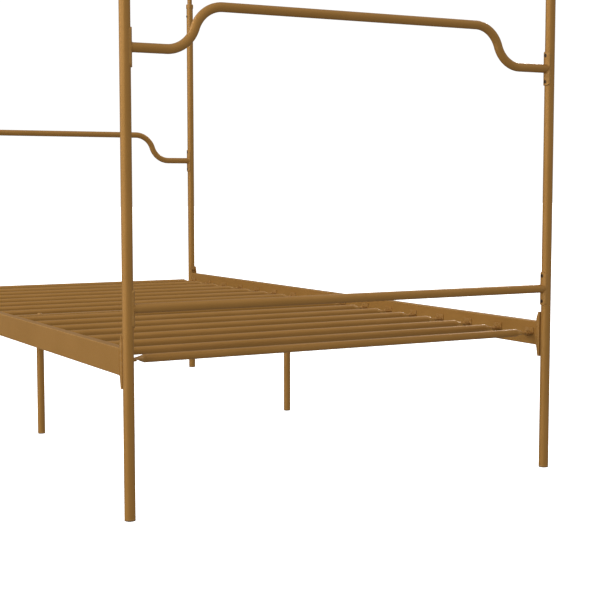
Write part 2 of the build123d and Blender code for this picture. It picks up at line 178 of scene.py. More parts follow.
def combine(
    tree: bpy.types.NodeTree,
    operation: str,
    first: bpy.types.NodeSocket,
    second: bpy.types.NodeSocket | float,
) -> bpy.types.NodeSocket:
    """One sum of two values.

    Args:
        tree: The tree to wire it in.
        operation: The Math node's operation.
        first: The first value.
        second: The second value, a number or a socket.

    Returns:
        The result's socket.
    """
    node = tree.nodes.new("ShaderNodeMath")
    node.operation = operation
    tree.links.new(first, node.inputs[0])
    if isinstance(second, float):
        node.inputs[1].default_value = second
    else:
        tree.links.new(second, node.inputs[1])
    return node.outputs[0]


@dataclass(frozen=True)
class Grain:
    """One noise of a finish, and the two levels that are stretched to full contrast.

    The cells are counted for each metre, and the roughness is the strength of the finer octaves.
    """

    cells: float
    octaves: float
    levels: tuple[float, float] = FULL
    roughness: float = 0.5


class Shader:
    """Small helper that wires one procedural material."""

    def __init__(self, name: str) -> None:
        """Start an empty material with a Principled shader.

        Args:
            name: The material's name.
        """
        self.material = bpy.data.materials.new(name)
        self.material.use_nodes = True
        self.tree = self.material.node_tree
        self.tree.nodes.clear()
        self.output = self.tree.nodes.new("ShaderNodeOutputMaterial")
        self.principled = self.tree.nodes.new("ShaderNodeBsdfPrincipled")
        self.link(self.principled.outputs["BSDF"], self.output.inputs["Surface"])
        self.coords = self.tree.nodes.new("ShaderNodeTexCoord")

    def link(self, source: bpy.types.NodeSocket, target: bpy.types.NodeSocket) -> None:
        """Join two sockets."""
        self.tree.links.new(source, target)

    def noise(self, grain: Grain) -> bpy.types.NodeSocket:
        """Value of a grain's noise, on object coordinates."""
        node = self.tree.nodes.new("ShaderNodeTexNoise")
        node.inputs["Scale"].default_value = grain.cells
        node.inputs["Detail"].default_value = grain.octaves
        node.inputs["Roughness"].default_value = grain.roughness
        self.link(self.coords.outputs["Object"], node.inputs["Vector"])
        return node.outputs["Fac"]

    def spots(self, grain: Grain, to: tuple[float, float] = FULL) -> bpy.types.NodeSocket:
        """A grain's noise, stretched from its two levels to a range."""
        return stretch(self.tree, self.noise(grain), grain.levels, to)

    def blend(
        self,
        factor: bpy.types.NodeSocket,
        first: bpy.types.NodeSocket | tuple[float, float, float],
        second: bpy.types.NodeSocket | tuple[float, float, float],
    ) -> bpy.types.NodeSocket:
        """Blend two colours.

        Args:
            factor: How much of the second colour shows.
            first: A colour or a socket.
            second: A colour or a socket.

        Returns:
            The blended colour's socket.
        """
        node = self.tree.nodes.new("ShaderNodeMix")
        node.data_type = "RGBA"
        self.link(factor, node.inputs[0])
        for socket, colour in ((node.inputs[6], first), (node.inputs[7], second)):
            if isinstance(colour, tuple):
                socket.default_value = (*colour, 1.0)
            else:
                self.link(colour, socket)
        return node.outputs[2]

    def maths(
        self,
        operation: str,
        first: bpy.types.NodeSocket,
        second: bpy.types.NodeSocket | float,
    ) -> bpy.types.NodeSocket:
        """One sum of two values in this material."""
        return combine(self.tree, operation, first, second)

    def rubbed(self, most: bpy.types.NodeSocket | float) -> bpy.types.NodeSocket:
        """How thin the paint is worn, with the painted glint on pressed shoulders, held down by a share.
        """
        node = self.tree.nodes.new("ShaderNodeAttribute")
        node.attribute_name = RUB_AND_GLINT
        return self.maths("MULTIPLY", node.outputs["Fac"], most)

    def bump(self, height: bpy.types.NodeSocket, strength: float, distance: float) -> None:
        """Roughen the surface.

        Args:
            height: Height of the surface, from 0 to 1.
            strength: Share of the effect that shows.
            distance: Height of the relief in metres.
        """
        node = self.tree.nodes.new("ShaderNodeBump")
        node.inputs["Strength"].default_value = strength
        node.inputs["Distance"].default_value = distance
        self.link(height, node.inputs["Height"])
        self.feed("Normal", node.outputs["Normal"])

    def feed(self, name: str, value: bpy.types.NodeSocket) -> None:
        """Lead a value into one of the shader's inputs."""
        self.link(value, self.principled.inputs[name])

    def constant(self, name: str, value: float | tuple[float, ...]) -> None:
        """Set one of the shader's inputs to a number or a colour."""
        self.principled.inputs[name].default_value = value


@dataclass(frozen=True)
class GoldPowderCoat:
    """Satin gold powder coat: soft orange peel, faint mottling, rims worn brighter, and a painted glint
    on pressed shoulders.
    """

    deep: tuple[float, float, float] = (0.338, 0.167, 0.038)
    warm: tuple[float, float, float] = (0.368, 0.184, 0.046)
    # Brighter colour of worn rims, also used as the painted glint on pressed shoulders.
    rubbed: tuple[float, float, float] = (0.500, 0.300, 0.115)
    edge: tuple[float, float, float] = (0.88, 0.74, 0.54)
    metallic: float = 0.30
    roughness: tuple[float, float] = (0.40, 0.51)
    rubbed_polish: float = 0.2
    gleam: float = 0.24
    rubbed_gleam: float = 0.7
    coat_weight: float = 0.10
    coat_roughness: float = 0.10
    peel: Grain = Grain(420.0, 2.0, (0.3, 0.7))
    mottle: Grain = Grain(9.0, 3.0, (0.35, 0.65))
    mottle_share: float = 0.7
    speck: Grain = Grain(2600.0, 2.0, (0.38, 0.62))
    speck_relief: float = 0.18
    wear: Grain = Grain(160.0, 4.0, (0.42, 0.62), 0.6)
    wear_most: float = 0.75
    relief_share: float = 0.35
    relief_height: float = 0.00012

    def build(self) -> bpy.types.Material:
        """Material of the painted tube and plate."""
        shader = Shader("gold_powder_coat")
        speck = shader.spots(self.speck)
        mottle = shader.maths("MULTIPLY", shader.spots(self.mottle), self.mottle_share)
        tone = shader.maths("ADD", mottle, shader.maths("MULTIPLY", speck, 1.0 - self.mottle_share))
        wear_range = (0.0, self.wear_most)
        # Worn rims and the painted glint on pressed shoulders both turn the base colour brighter here.
        wear = shader.rubbed(shader.spots(self.wear, wear_range))
        paint = shader.blend(tone, self.deep, self.warm)
        shader.feed("Base Color", shader.blend(wear, paint, self.rubbed))
        peel = shader.noise(self.peel)
        satin = stretch(shader.tree, peel, self.peel.levels, self.roughness)
        polish = shader.maths("MULTIPLY", wear, self.rubbed_polish)
        shader.feed("Roughness", shader.maths("SUBTRACT", satin, polish))
        gleam = stretch(shader.tree, wear, wear_range, (self.gleam, self.rubbed_gleam))
        shader.feed("Specular IOR Level", gleam)
        relief = shader.maths("ADD", peel, shader.maths("MULTIPLY", speck, self.speck_relief))
        shader.bump(relief, self.relief_share, self.relief_height)
        shader.constant("Metallic", self.metallic)
        shader.constant("Specular Tint", (*self.edge, 1.0))
        shader.constant("Coat Weight", self.coat_weight)
        shader.constant("Coat Roughness", self.coat_roughness)
        return shader.material


@dataclass(frozen=True)
class DarkBronzeScrew:
    """Dark bronze screw finish with fine turning marks and brighter rims."""

    base: tuple[float, float, float] = (0.045, 0.024, 0.009)
    bright: tuple[float, float, float] = (0.150, 0.088, 0.036)
    bright_most: float = 0.8
    metallic: float = 0.6
    roughness: tuple[float, float] = (0.32, 0.48)
    grime: Grain = Grain(700.0, 3.0, (0.4, 0.6))
    marks: Grain = Grain(2400.0, 2.0)
    relief_share: float = 0.3
    relief_height: float = 0.0001

    def build(self) -> bpy.types.Material:
        """Material of the flush screws."""
        shader = Shader("dark_bronze_screw")
        grime = shader.spots(self.grime)
        wear = shader.maths("MULTIPLY", shader.rubbed(self.bright_most), grime)
        shader.feed("Base Color", shader.blend(wear, self.base, self.bright))
        shader.feed("Roughness", stretch(shader.tree, grime, FULL, self.roughness))
        shader.bump(shader.noise(self.marks), self.relief_share, self.relief_height)
        shader.constant("Metallic", self.metallic)
        return shader.material


@dataclass(frozen=True)
class BrownGlidePlastic:
    """Moulded brown plastic of the floor glides, scuffed at the rim."""

    base: tuple[float, float, float] = (0.115, 0.064, 0.024)
    scuffed: tuple[float, float, float] = (0.185, 0.120, 0.062)
    scuffs: Grain = Grain(260.0, 4.0, (0.45, 0.65), 0.65)
    scuffs_most: float = 0.8
    grain: Grain = Grain(1500.0, 3.0, (0.3, 0.7))
    roughness: tuple[float, float] = (0.5, 0.66)
    relief_share: float = 0.4
    relief_height: float = 0.00012

    def build(self) -> bpy.types.Material:
        """Material of the caps under posts and legs."""
        shader = Shader("brown_glide_plastic")
        wear = shader.rubbed(shader.spots(self.scuffs, (0.0, self.scuffs_most)))
        shader.feed("Base Color", shader.blend(wear, self.base, self.scuffed))
        grain = shader.noise(self.grain)
        shader.feed("Roughness", stretch(shader.tree, grain, self.grain.levels, self.roughness))
        shader.bump(grain, self.relief_share, self.relief_height)
        return shader.material


@dataclass(frozen=True)
class StudioWhite:
    """White floor that runs into the background."""

    glow: float = 1.0
    albedo: tuple[float, float] = (0.855, 0.865)
    grain: Grain = Grain(3.0, 2.0)
    roughness: float = 0.9
    gleam: float = 0.1

    def build(self) -> bpy.types.Material:
        """Material of the floor."""
        shader = Shader("studio_white")
        grain = shader.spots(self.grain, self.albedo)
        tint = shader.tree.nodes.new("ShaderNodeCombineColor")
        for name in ("Red", "Green", "Blue"):
            shader.link(grain, tint.inputs[name])
        shader.feed("Base Color", tint.outputs["Color"])
        shader.constant("Emission Color", (1.0, 1.0, 1.0, 1.0))
        shader.constant("Emission Strength", self.glow)
        shader.constant("Roughness", self.roughness)
        shader.constant("Specular IOR Level", self.gleam)
        return shader.material


# ---------------------------------------------------------------- mesh making


@dataclass
class Skin:
    """Vertices and faces of one piece, gathered ring by ring before they become a mesh."""

    points: list[Vector] = field(default_factory=list)
    rub: list[float] = field(default_factory=list)
    faces: list[tuple[int, ...]] = field(default_factory=list)

    def ring(self, points: Sequence[Vector], rub: float | Sequence[float] = 0.0) -> list[int]:
        """Add one ring of points.

        Args:
            points: The ring's points in order.
            rub: How much paint is worn thin there, from 0 to 1, for all or for each point; on pressed
                shoulders the same value paints a glint.

        Returns:
            The indices of the new vertices.
        """
        start = len(self.points)
        self.points.extend(points)
        self.rub.extend([rub] * len(points) if isinstance(rub, float) else rub)
        return list(range(start, start + len(points)))

    def bridge(self, first: list[int], second: list[int]) -> None:
        """Join two rings of equal length with quads."""
        count = len(first)
        for i in range(count):
            j = (i + 1) % count
            self.faces.append((first[i], first[j], second[j], second[i]))

    def close(self, ring: list[int], inward: bool) -> None:
        """Close a ring with one flat face, turned over if inward."""
        self.faces.append(tuple(reversed(ring)) if inward else tuple(ring))

    def loft(self, rings: Sequence[tuple[Sequence[Vector], float | Sequence[float]]]) -> None:
        """Skin a row of rings and close both ends.

        Args:
            rings: Each ring's points and how much its paint is worn; on pressed shoulders this paints a
                glint.
        """
        indices = [self.ring(points, rub) for points, rub in rings]
        for first, second in zip(indices, indices[1:]):
            self.bridge(first, second)
        self.close(indices[0], inward=True)
        self.close(indices[-1], inward=False)

    def hollow(
        self,
        outer: Sequence[tuple[Sequence[Vector], float | Sequence[float]]],
        inner: Sequence[Sequence[Vector]],
    ) -> None:
        """Skin an open tube with a wall.

        Args:
            outer: Rings of the outside, each with its rub.
            inner: Rings of the bore, from the same end.
        """
        outside = [self.ring(points, rub) for points, rub in outer]
        inside = [self.ring(points) for points in inner]
        for first, second in zip(outside, outside[1:]):
            self.bridge(first, second)
        for first, second in zip(inside, inside[1:]):
            self.bridge(second, first)
        self.bridge(inside[0], outside[0])
        self.bridge(outside[-1], inside[-1])

    def mesh(self, name: str, sharp_degrees: float = CRISP) -> bpy.types.Mesh:
        """Make the mesh, faces outward and smooth except at sharp edges.

        Args:
            name: The mesh's name.
            sharp_degrees: Edges steeper than this stay crisp.

        Returns:
            The finished mesh.
        """
        mesh = bpy.data.meshes.new(name)
        mesh.from_pydata([tuple(p) for p in self.points], [], self.faces)
        layer = mesh.attributes.new(RUB_AND_GLINT, "FLOAT", "POINT")
        layer.data.foreach_set("value", self.rub)
        outward(mesh)
        smooth_but_crisp(mesh, sharp_degrees)
        return mesh


def outward(mesh: bpy.types.Mesh) -> None:
    """Turn every face of a mesh outward."""
    work = bmesh.new()
    work.from_mesh(mesh)
    bmesh.ops.recalc_face_normals(work, faces=work.faces)
    work.to_mesh(mesh)
    work.free()


def smooth_but_crisp(mesh: bpy.types.Mesh, degrees: float) -> None:
    """Shade a mesh smooth, with crisp edges above an angle."""
    mesh.shade_smooth()
    mesh.set_sharp_from_angle(angle=math.radians(degrees))


def circle_ring(centre: Vector, radius: float, side: Vector, up: Vector, sides: int) -> list[Vector]:
    """Points of a circle.

    Args:
        centre: Middle of the circle.
        radius: Its radius.
        side: Unit vector to its first point.
        up: Unit vector a quarter turn on.
        sides: Number of points.

    Returns:
        The points in order.
    """
    turns = [math.tau * i / sides for i in range(sides)]
    return [centre + side * (radius * math.cos(a)) + up * (radius * math.sin(a)) for a in turns]


def rounded_ring(
    width: float, height: float, radius: float, arc_points: int
) -> list[tuple[float, float]]:
    """Outline of a rectangle with round corners, centred on the origin.

    Each corner has one more point on the flat at each end, so that the flats shade flat.

    Args:
        width: Its width.
        height: Its height.
        radius: Radius of the corners.
        arc_points: Points on each corner's arc.

    Returns:
        The outline's points in order, arc_points + 2 for each corner.
    """
    outline = []
    corners = ((1, 1, 0), (-1, 1, 90), (-1, -1, 180), (1, -1, 270))
    for sx, sy, start in corners:
        cx, cy = sx * (width / 2 - radius), sy * (height / 2 - radius)
        arc = []
        for i in range(arc_points):
            angle = math.radians(start + 90 * i / (arc_points - 1))
            arc.append((cx + radius * math.cos(angle), cy + radius * math.sin(angle)))
        first, last = math.radians(start - 90), math.radians(start + 180)
        lead = (arc[0][0] + FLAT_GUARD * math.cos(first), arc[0][1] + FLAT_GUARD * math.sin(first))
        trail = (arc[-1][0] + FLAT_GUARD * math.cos(last), arc[-1][1] + FLAT_GUARD * math.sin(last))
        outline += [lead, *arc, trail]
    return outline


def round_ring(radius: float, height: float, sides: int) -> list[Vector]:
    """Level round ring about the Z axis."""
    return circle_ring(Vector((0, 0, height)), radius, Vector((1, 0, 0)), Vector((0, 1, 0)), sides)


def lathe(profile: Sequence[tuple[float, float, float]], sides: int) -> Skin:
    """Turned shape round the Z axis.

    Args:
        profile: Radius, height and rub of each ring, from the bottom up.
        sides: Number of sides.

    Returns:
        The closed skin.
    """
    skin = Skin()
    skin.loft([(round_ring(radius, z, sides), rub) for radius, z, rub in profile])
    return skin


def plain_object(name: str, mesh: bpy.types.Mesh) -> bpy.types.Object:
    """Put a mesh in the scene as an object at the origin."""
    piece = bpy.data.objects.new(name, mesh)
    bpy.context.scene.collection.objects.link(piece)
    return piece


def settle(piece: bpy.types.Object) -> None:
    """Turn a piece with modifiers into a plain mesh."""
    graph = bpy.context.evaluated_depsgraph_get()
    mesh = bpy.data.meshes.new_from_object(piece.evaluated_get(graph), depsgraph=graph)
    piece.modifiers.clear()
    old = piece.data
    piece.data = mesh
    bpy.data.meshes.remove(old)
    if not mesh.has_custom_normals:
        smooth_but_crisp(mesh, CRISP)


def ease_edges(piece: bpy.types.Object, width: float, degrees: float) -> None:
    """Round the crisp edges of a piece.

    Args:
        piece: The object to work on.
        width: Width of the rounding.
        degrees: Only edges steeper than this are rounded.
    """
    bevel = piece.modifiers.new("eased_edges", "BEVEL")
    bevel.width = width
    bevel.segments = EASE_STEPS
    bevel.limit_method = "ANGLE"
    bevel.angle_limit = math.radians(degrees)
    weights = piece.modifiers.new("flat_faces", "WEIGHTED_NORMAL")
    weights.keep_sharp = True


# ---------------------------------------------------------------- geometry nodes


class GeometryTree:
    """Helper that wires one Geometry Nodes tree with named inputs."""

    def __init__(self, name: str) -> None:
        """Start a tree that takes and gives geometry.

        Args:
            name: The tree's name.
        """
        self.tree = bpy.data.node_groups.new(name, "GeometryNodeTree")
        self.tree.interface.new_socket("Geometry", in_out="INPUT", socket_type="NodeSocketGeometry")
        self.tree.interface.new_socket("Geometry", in_out="OUTPUT", socket_type="NodeSocketGeometry")
        self.source = self.tree.nodes.new("NodeGroupInput")
        self.sink = self.tree.nodes.new("NodeGroupOutput")

    def add_input(self, name: str, kind: str) -> None:
        """Give the tree one more named input of a socket type."""
        self.tree.interface.new_socket(name, in_out="INPUT", socket_type=kind)

    def node(self, kind: str) -> bpy.types.Node:
        """Add one node."""
        return self.tree.nodes.new(kind)

    def link(self, source: bpy.types.NodeSocket, target: bpy.types.NodeSocket) -> None:
        """Join two sockets."""
        self.tree.links.new(source, target)

    def finish(self, geometry: bpy.types.NodeSocket) -> bpy.types.NodeTree:
        """End the tree in Realize Instances and Set Material.

        Args:
            geometry: The finished geometry.

        Returns:
            The whole tree.
        """
        realize = self.node("GeometryNodeRealizeInstances")
        paint = self.node("GeometryNodeSetMaterial")
        self.link(geometry, realize.inputs["Geometry"])
        self.link(realize.outputs["Geometry"], paint.inputs["Geometry"])
        self.link(self.source.outputs["Finish"], paint.inputs["Material"])
        self.link(paint.outputs["Geometry"], self.sink.inputs["Geometry"])
        return self.tree

    @staticmethod
    def run(piece: bpy.types.Object, tree: bpy.types.NodeTree, values: dict[str, object]) -> None:
        """Hang a tree on a piece and set its inputs by socket identifier.

        Args:
            piece: The object that carries the input geometry.
            tree: The tree to run.
            values: Values by input name.
        """
        modifier = piece.modifiers.new(tree.name, "NODES")
        modifier.node_group = tree
        for item in tree.interface.items_tree:
            if item.item_type == "SOCKET" and item.in_out == "INPUT" and item.name in values:
                modifier[item.identifier] = values[item.name]


class PlacedRows:
    """Tree that sets one shape on every given place, turned as each place says."""

    _tree: bpy.types.NodeTree | None = None

    @classmethod
    def tree(cls) -> bpy.types.NodeTree:
        """The tree, made once."""
        if cls._tree is None:
            made = GeometryTree("placed_rows")
            made.add_input("Shape", "NodeSocketObject")
            made.add_input("Finish", "NodeSocketMaterial")
            shape = made.node("GeometryNodeObjectInfo")
            turn = made.node("GeometryNodeInputNamedAttribute")
            turn.data_type = "FLOAT_VECTOR"
            turn.inputs["Name"].default_value = TURN
            rotate = made.node("FunctionNodeEulerToRotation")
            place = made.node("GeometryNodeInstanceOnPoints")
            made.link(made.source.outputs["Geometry"], place.inputs["Points"])
            made.link(made.source.outputs["Shape"], shape.inputs["Object"])
            made.link(shape.outputs["Geometry"], place.inputs["Instance"])
            made.link(turn.outputs["Attribute"], rotate.inputs["Euler"])
            made.link(rotate.outputs["Rotation"], place.inputs["Rotation"])
            cls._tree = made.finish(place.outputs["Instances"])
        return cls._tree

    @classmethod
    def make(
        cls,
        name: str,
        shape: bpy.types.Mesh,
        places: Sequence[tuple[Vector, Euler]],
        finish: bpy.types.Material,
    ) -> bpy.types.Object:
        """Set a shape on many places and turn the result into one plain piece.

        Args:
            name: The piece's name.
            shape: The shape, made round the origin with its head along +Z.
            places: Each place's point and how the shape is turned there.
            finish: The material.

        Returns:
            The finished piece.
        """
        anchors = bpy.data.meshes.new(name)
        anchors.from_pydata([tuple(point) for point, _ in places], [], [])
        layer = anchors.attributes.new(TURN, "FLOAT_VECTOR", "POINT")
        for i, (_, turn) in enumerate(places):
            layer.data[i].vector = Vector(turn)
        piece = plain_object(name, anchors)
        pattern = plain_object(f"{name}_pattern", shape)
        GeometryTree.run(piece, cls.tree(), {"Shape": pattern, "Finish": finish})
        settle(piece)
        bpy.data.objects.remove(pattern)
        return piece


class PathTube:
    """Tree that bends a round tube along a path."""

    _tree: bpy.types.NodeTree | None = None

    @classmethod
    def tree(cls) -> bpy.types.NodeTree:
        """The tree, made once."""
        if cls._tree is None:
            made = GeometryTree("path_tube")
            made.add_input("Radius", "NodeSocketFloat")
            made.add_input("Sides", "NodeSocketInt")
            made.add_input("Ripple", "NodeSocketFloat")
            made.add_input("Ripples", "NodeSocketFloat")
            made.add_input("Finish", "NodeSocketMaterial")
            curve = made.node("GeometryNodeMeshToCurve")
            circle = made.node("GeometryNodeCurvePrimitiveCircle")
            sweep = made.node("GeometryNodeCurveToMesh")
            sweep.inputs["Fill Caps"].default_value = True
            made.link(made.source.outputs["Geometry"], curve.inputs["Mesh"])
            made.link(made.source.outputs["Sides"], circle.inputs["Resolution"])
            made.link(made.source.outputs["Radius"], circle.inputs["Radius"])
            made.link(curve.outputs["Curve"], sweep.inputs["Curve"])
            made.link(circle.outputs["Curve"], sweep.inputs["Profile Curve"])
            made.link(cls._ripple(made), sweep.inputs["Scale"])
            cls._tree = made.finish(sweep.outputs["Mesh"])
        return cls._tree

    @staticmethod
    def _ripple(made: GeometryTree) -> bpy.types.NodeSocket:
        """Scale along the path: 1 plus a wave, as a weld bead has.

        Args:
            made: The tree to wire it in.

        Returns:
            The scale's socket.
        """
        along = made.node("GeometryNodeSplineParameter")
        phase = made.node("ShaderNodeMath")
        phase.operation = "MULTIPLY"
        wave = made.node("ShaderNodeMath")
        wave.operation = "SINE"
        swell = made.node("ShaderNodeMath")
        swell.operation = "MULTIPLY_ADD"
        swell.inputs[2].default_value = 1.0
        made.link(along.outputs["Factor"], phase.inputs[0])
        made.link(made.source.outputs["Ripples"], phase.inputs[1])
        made.link(phase.outputs[0], wave.inputs[0])
        made.link(wave.outputs[0], swell.inputs[0])
        made.link(made.source.outputs["Ripple"], swell.inputs[1])
        return swell.outputs[0]

    @classmethod
    def make(
        cls,
        name: str,
        paths: Sequence[Sequence[Vector]],
        radius: float,
        finish: bpy.types.Material,
        sides: int,
        closed: bool = False,
        ripple: float = 0.0,
        ripples: float = 0.0,
    ) -> bpy.types.Object:
        """Bend tubes along paths and turn the result into one plain piece.

        Args:
            name: The piece's name.
            paths: Points of each tube's centre line.
            radius: Radius of the tube.
            finish: The material.
            sides: Sides of the round section.
            closed: Whether each path joins up with its start.
            ripple: Swell of each ripple, as a share of the radius.
            ripples: Number of ripples along the path.

        Returns:
            The finished piece.
        """
        points: list[tuple[float, ...]] = []
        edges: list[tuple[int, int]] = []
        for path in paths:
            start = len(points)
            points.extend(tuple(p) for p in path)
            last = len(points)
            edges.extend((i, i + 1) for i in range(start, last - 1))
            if closed:
                edges.append((last - 1, start))
        line = bpy.data.meshes.new(name)
        line.from_pydata(points, edges, [])
        piece = plain_object(name, line)
        values = {
            "Radius": radius,
            "Sides": sides,
            "Ripple": ripple,
            "Ripples": math.tau * ripples,
            "Finish": finish,
        }
        GeometryTree.run(piece, cls.tree(), values)
        settle(piece)
        outward(piece.data)
        return piece


# ---------------------------------------------------------------- shapes shared by the pieces


def upright() -> Euler:
    """No turn at all."""
    return Euler((0.0, 0.0, 0.0))


def facing(heading: Vector) -> Euler:
    """Turn that takes +Z to a heading."""
    return Vector((0, 0, 1)).rotation_difference(heading).to_euler()


def hexagon_ring(
    across_flats: float, height: float, sides: int, limit: float = math.inf
) -> list[Vector]:
    """Hexagonal ring with as many points as a round one.

    Args:
        across_flats: Width over the flats.
        height: Height of the ring.
        sides: Number of points, a multiple of six.
        limit: Largest radius, where the corners are turned off.

    Returns:
        The points in order.
    """
    points = []
    for i in range(sides):
        angle = math.tau * i / sides
        off_flat = angle % (math.pi / 3) - math.pi / 6
        radius = min(across_flats / 2 / math.cos(off_flat), limit)
        points.append(Vector((radius * math.cos(angle), radius * math.sin(angle), height)))
    return points


def nut_rings(
    across_flats: float, height: float, corner: float, sides: int
) -> list[tuple[list[Vector], float]]:
    """Rings of a hexagonal nut from Z = 0, its corners turned off at both ends.

    Args:
        across_flats: Width over the flats.
        height: Height of the hexagon.
        corner: Height of the turned part.
        sides: Number of points, a multiple of six.

    Returns:
        Each ring's points and its rub.
    """
    turned = across_flats / 2 * NUT_TURNING
    levels = ((0.0, turned), (corner, math.inf), (height - corner, math.inf), (height, turned))
    return [(hexagon_ring(across_flats, z, sides, limit), NUT_RUB) for z, limit in levels]


@dataclass(frozen=True)
class SocketScrew:
    """Button-head screw with a hexagon socket, its head standing on Z = 0."""

    head: float
    height: float
    shank: float
    reach: float
    socket: float
    sides: int = 36
    crown_steps: int = 4
    side_share: float = 0.35
    crown_share: float = 0.62
    floor_share: float = 0.4
    tip_share: float = 0.8
    point_share: float = 0.12
    seat_rub: float = 0.4
    crown_rub: float = 0.6
    socket_rub: float = 0.9

    def mesh(self, name: str) -> bpy.types.Mesh:
        """Mesh of the screw.

        Args:
            name: The mesh's name.

        Returns:
            The finished mesh.
        """
        sides = self.sides
        side_height = self.height * self.side_share
        rings = [
            (round_ring(self.shank / 2 * self.tip_share, -self.reach, sides), 0.0),
            (round_ring(self.shank / 2, -self.reach + self.shank * self.point_share, sides), 0.0),
            (round_ring(self.shank / 2, 0.0, sides), 0.0),
            (round_ring(self.head / 2, 0.0, sides), self.seat_rub),
            (round_ring(self.head / 2, side_height, sides), self.crown_rub),
        ]
        crown_radius = self.socket * self.crown_share
        for step in range(1, self.crown_steps + 1):
            swing = math.pi / 2 * step / self.crown_steps
            radius = crown_radius + (self.head / 2 - crown_radius) * math.cos(swing)
            height = side_height + (self.height - side_height) * math.sin(swing)
            rings.append((round_ring(radius, height, sides), self.crown_rub))
        rings.append((hexagon_ring(self.socket, self.height, sides), self.socket_rub))
        rings.append((hexagon_ring(self.socket, self.height * self.floor_share, sides), 0.0))
        skin = Skin()
        skin.loft(rings)
        return skin.mesh(name, SOCKET_CRISP)


@dataclass(frozen=True)
class HexNut:
    """Hexagon nut with turned-off corners, its base on Z = 0."""

    flats: float
    height: float
    sides: int = 36
    corner_share: float = 0.07

    def mesh(self, name: str) -> bpy.types.Mesh:
        """Mesh of the nut."""
        skin = Skin()
        skin.loft(nut_rings(self.flats, self.height, self.flats * self.corner_share, self.sides))
        return skin.mesh(name, NUT_CRISP)


@dataclass(frozen=True)
class UprightTube:
    """Round tube along Z, rubbed bright at the rims of both ends."""

    radius: float
    low: float
    high: float
    sides: int
    foot_rub: float = 0.8
    top_rub: float = 0.8
    rim: float = 0.45 * MM
    guard: float = 5.0 * MM

    def mesh(self, name: str) -> bpy.types.Mesh:
        """Mesh of the tube."""
        profile = [
            (self.radius - self.rim, self.low, self.foot_rub),
            (self.radius, self.low + self.rim, self.foot_rub),
            (self.radius, self.low + self.guard, 0.0),
            (self.radius, self.high - self.guard, 0.0),
            (self.radius, self.high - self.rim, self.top_rub),
            (self.radius - self.rim, self.high, self.top_rub),
        ]
        return lathe(profile, self.sides).mesh(name)


@dataclass(frozen=True)
class FloorGlide:
    """Thin moulded cap under a tube: each ring's step from the radius, its height and its rub."""

    radius: float
    sides: int
    rings: tuple[tuple[float, float, float], ...] = (
        (-1.0 * MM, 0.0, 0.9),
        (-0.3 * MM, 0.3 * MM, 1.0),
        (0.0, 0.8 * MM, 0.8),
        (0.0, 2.0 * MM, 0.2),
    )

    def mesh(self, name: str) -> bpy.types.Mesh:
        """Mesh of the cap."""
        profile = [(self.radius + step, height, rub) for step, height, rub in self.rings]
        return lathe(profile, self.sides).mesh(name)


@dataclass(frozen=True)
class FlatEndedTube:
    """Round tube along X whose ends are pressed flat, with rounded tips and a painted glint on the
    shoulders of the press.
    """

    half_length: float
    round_half: float
    taper: float
    diameter: float
    tab_width: float
    tab_thickness: float
    tip_share: float = 0.2
    sides: int = 56
    taper_steps: int = 16
    tip_steps: int = 6
    press_ease: float = 0.10
    # Where along the taper, and how widely, a brighter glint is painted on the shoulders of the press.
    crease_share: float = 0.55
    crease_spread: float = 0.4
    squareness: float = 0.55
    tip_rub: float = 0.5

    def _press_at(self, share: float) -> float:
        """How far the tube is pressed at a share of the taper: a wedge with eased ends."""
        ease = self.press_ease
        slope = 1.0 / (1.0 - ease)
        if share < ease:
            return slope * share * share / (2.0 * ease)
        if share > 1.0 - ease:
            rest = 1.0 - share
            return 1.0 - slope * rest * rest / (2.0 * ease)
        return slope * (share - ease / 2.0)

    def _section(self, x: float, press: float, width: float) -> list[Vector]:
        """One section of the tube.

        Args:
            x: Where it is.
            press: How far it is pressed flat, from 0 to 1.
            width: Width of the flat there.

        Returns:
            The section's points.
        """
        radius = self.diameter / 2
        half_width = radius + (width / 2 - radius) * press
        half_height = radius + (self.tab_thickness / 2 - radius) * press
        power = 1.0 - self.squareness * press
        points = []
        for i in range(self.sides):
            angle = math.tau * i / self.sides
            c, s = math.cos(angle), math.sin(angle)
            y = half_width * math.copysign(abs(c) ** power, c)
            z = half_height * math.copysign(abs(s) ** power, s)
            points.append(Vector((x, y, z)))
        return points

    def _creased(self, side: int) -> float:
        """Strength of the painted glint on one side of the press: most on the shoulders, none on top or
        below.
        """
        return abs(math.sin(2.0 * math.tau * side / self.sides)) ** 0.5

    def _half(self) -> list[tuple[list[Vector], float | list[float]]]:
        """Sections from the middle of the tube to its tip."""
        rows = [(self._section(0.0, 0.0, self.tab_width), 0.0)]
        rows.append((self._section(self.round_half - self.taper, 0.0, self.tab_width), 0.0))
        for step in range(self.taper_steps + 1):
            share = step / self.taper_steps
            press = self._press_at(share)
            # The shoulders of the press carry a painted glint in the rub attribute, which brightens the
            # colour there.
            glint = math.exp(-(((share - self.crease_share) / self.crease_spread) ** 2))
            x = self.round_half + self.taper * share
            section = self._section(x, press, self.tab_width)
            rows.append((section, [glint * self._creased(i) for i in range(self.sides)]))
        tip = self.tab_width * self.tip_share
        for step in range(self.tip_steps + 1):
            swing = math.pi / 2 * step / self.tip_steps
            x = self.half_length - tip + tip * math.sin(swing)
            width = self.tab_width - 2 * tip * (1.0 - math.cos(swing))
            rows.append((self._section(x, 1.0, width), self.tip_rub))
        return rows

    def mesh(self, name: str) -> bpy.types.Mesh:
        """Mesh of the whole tube.

        Args:
            name: The mesh's name.

        Returns:
            The finished mesh.
        """
        half = self._half()
        other = [
            ([Vector((-point.x, point.y, point.z)) for point in points], rub)
            for points, rub in reversed(half[1:])
        ]
        skin = Skin()
        skin.loft(other + half)
        return skin.mesh(name)


# ---------------------------------------------------------------- the workshop


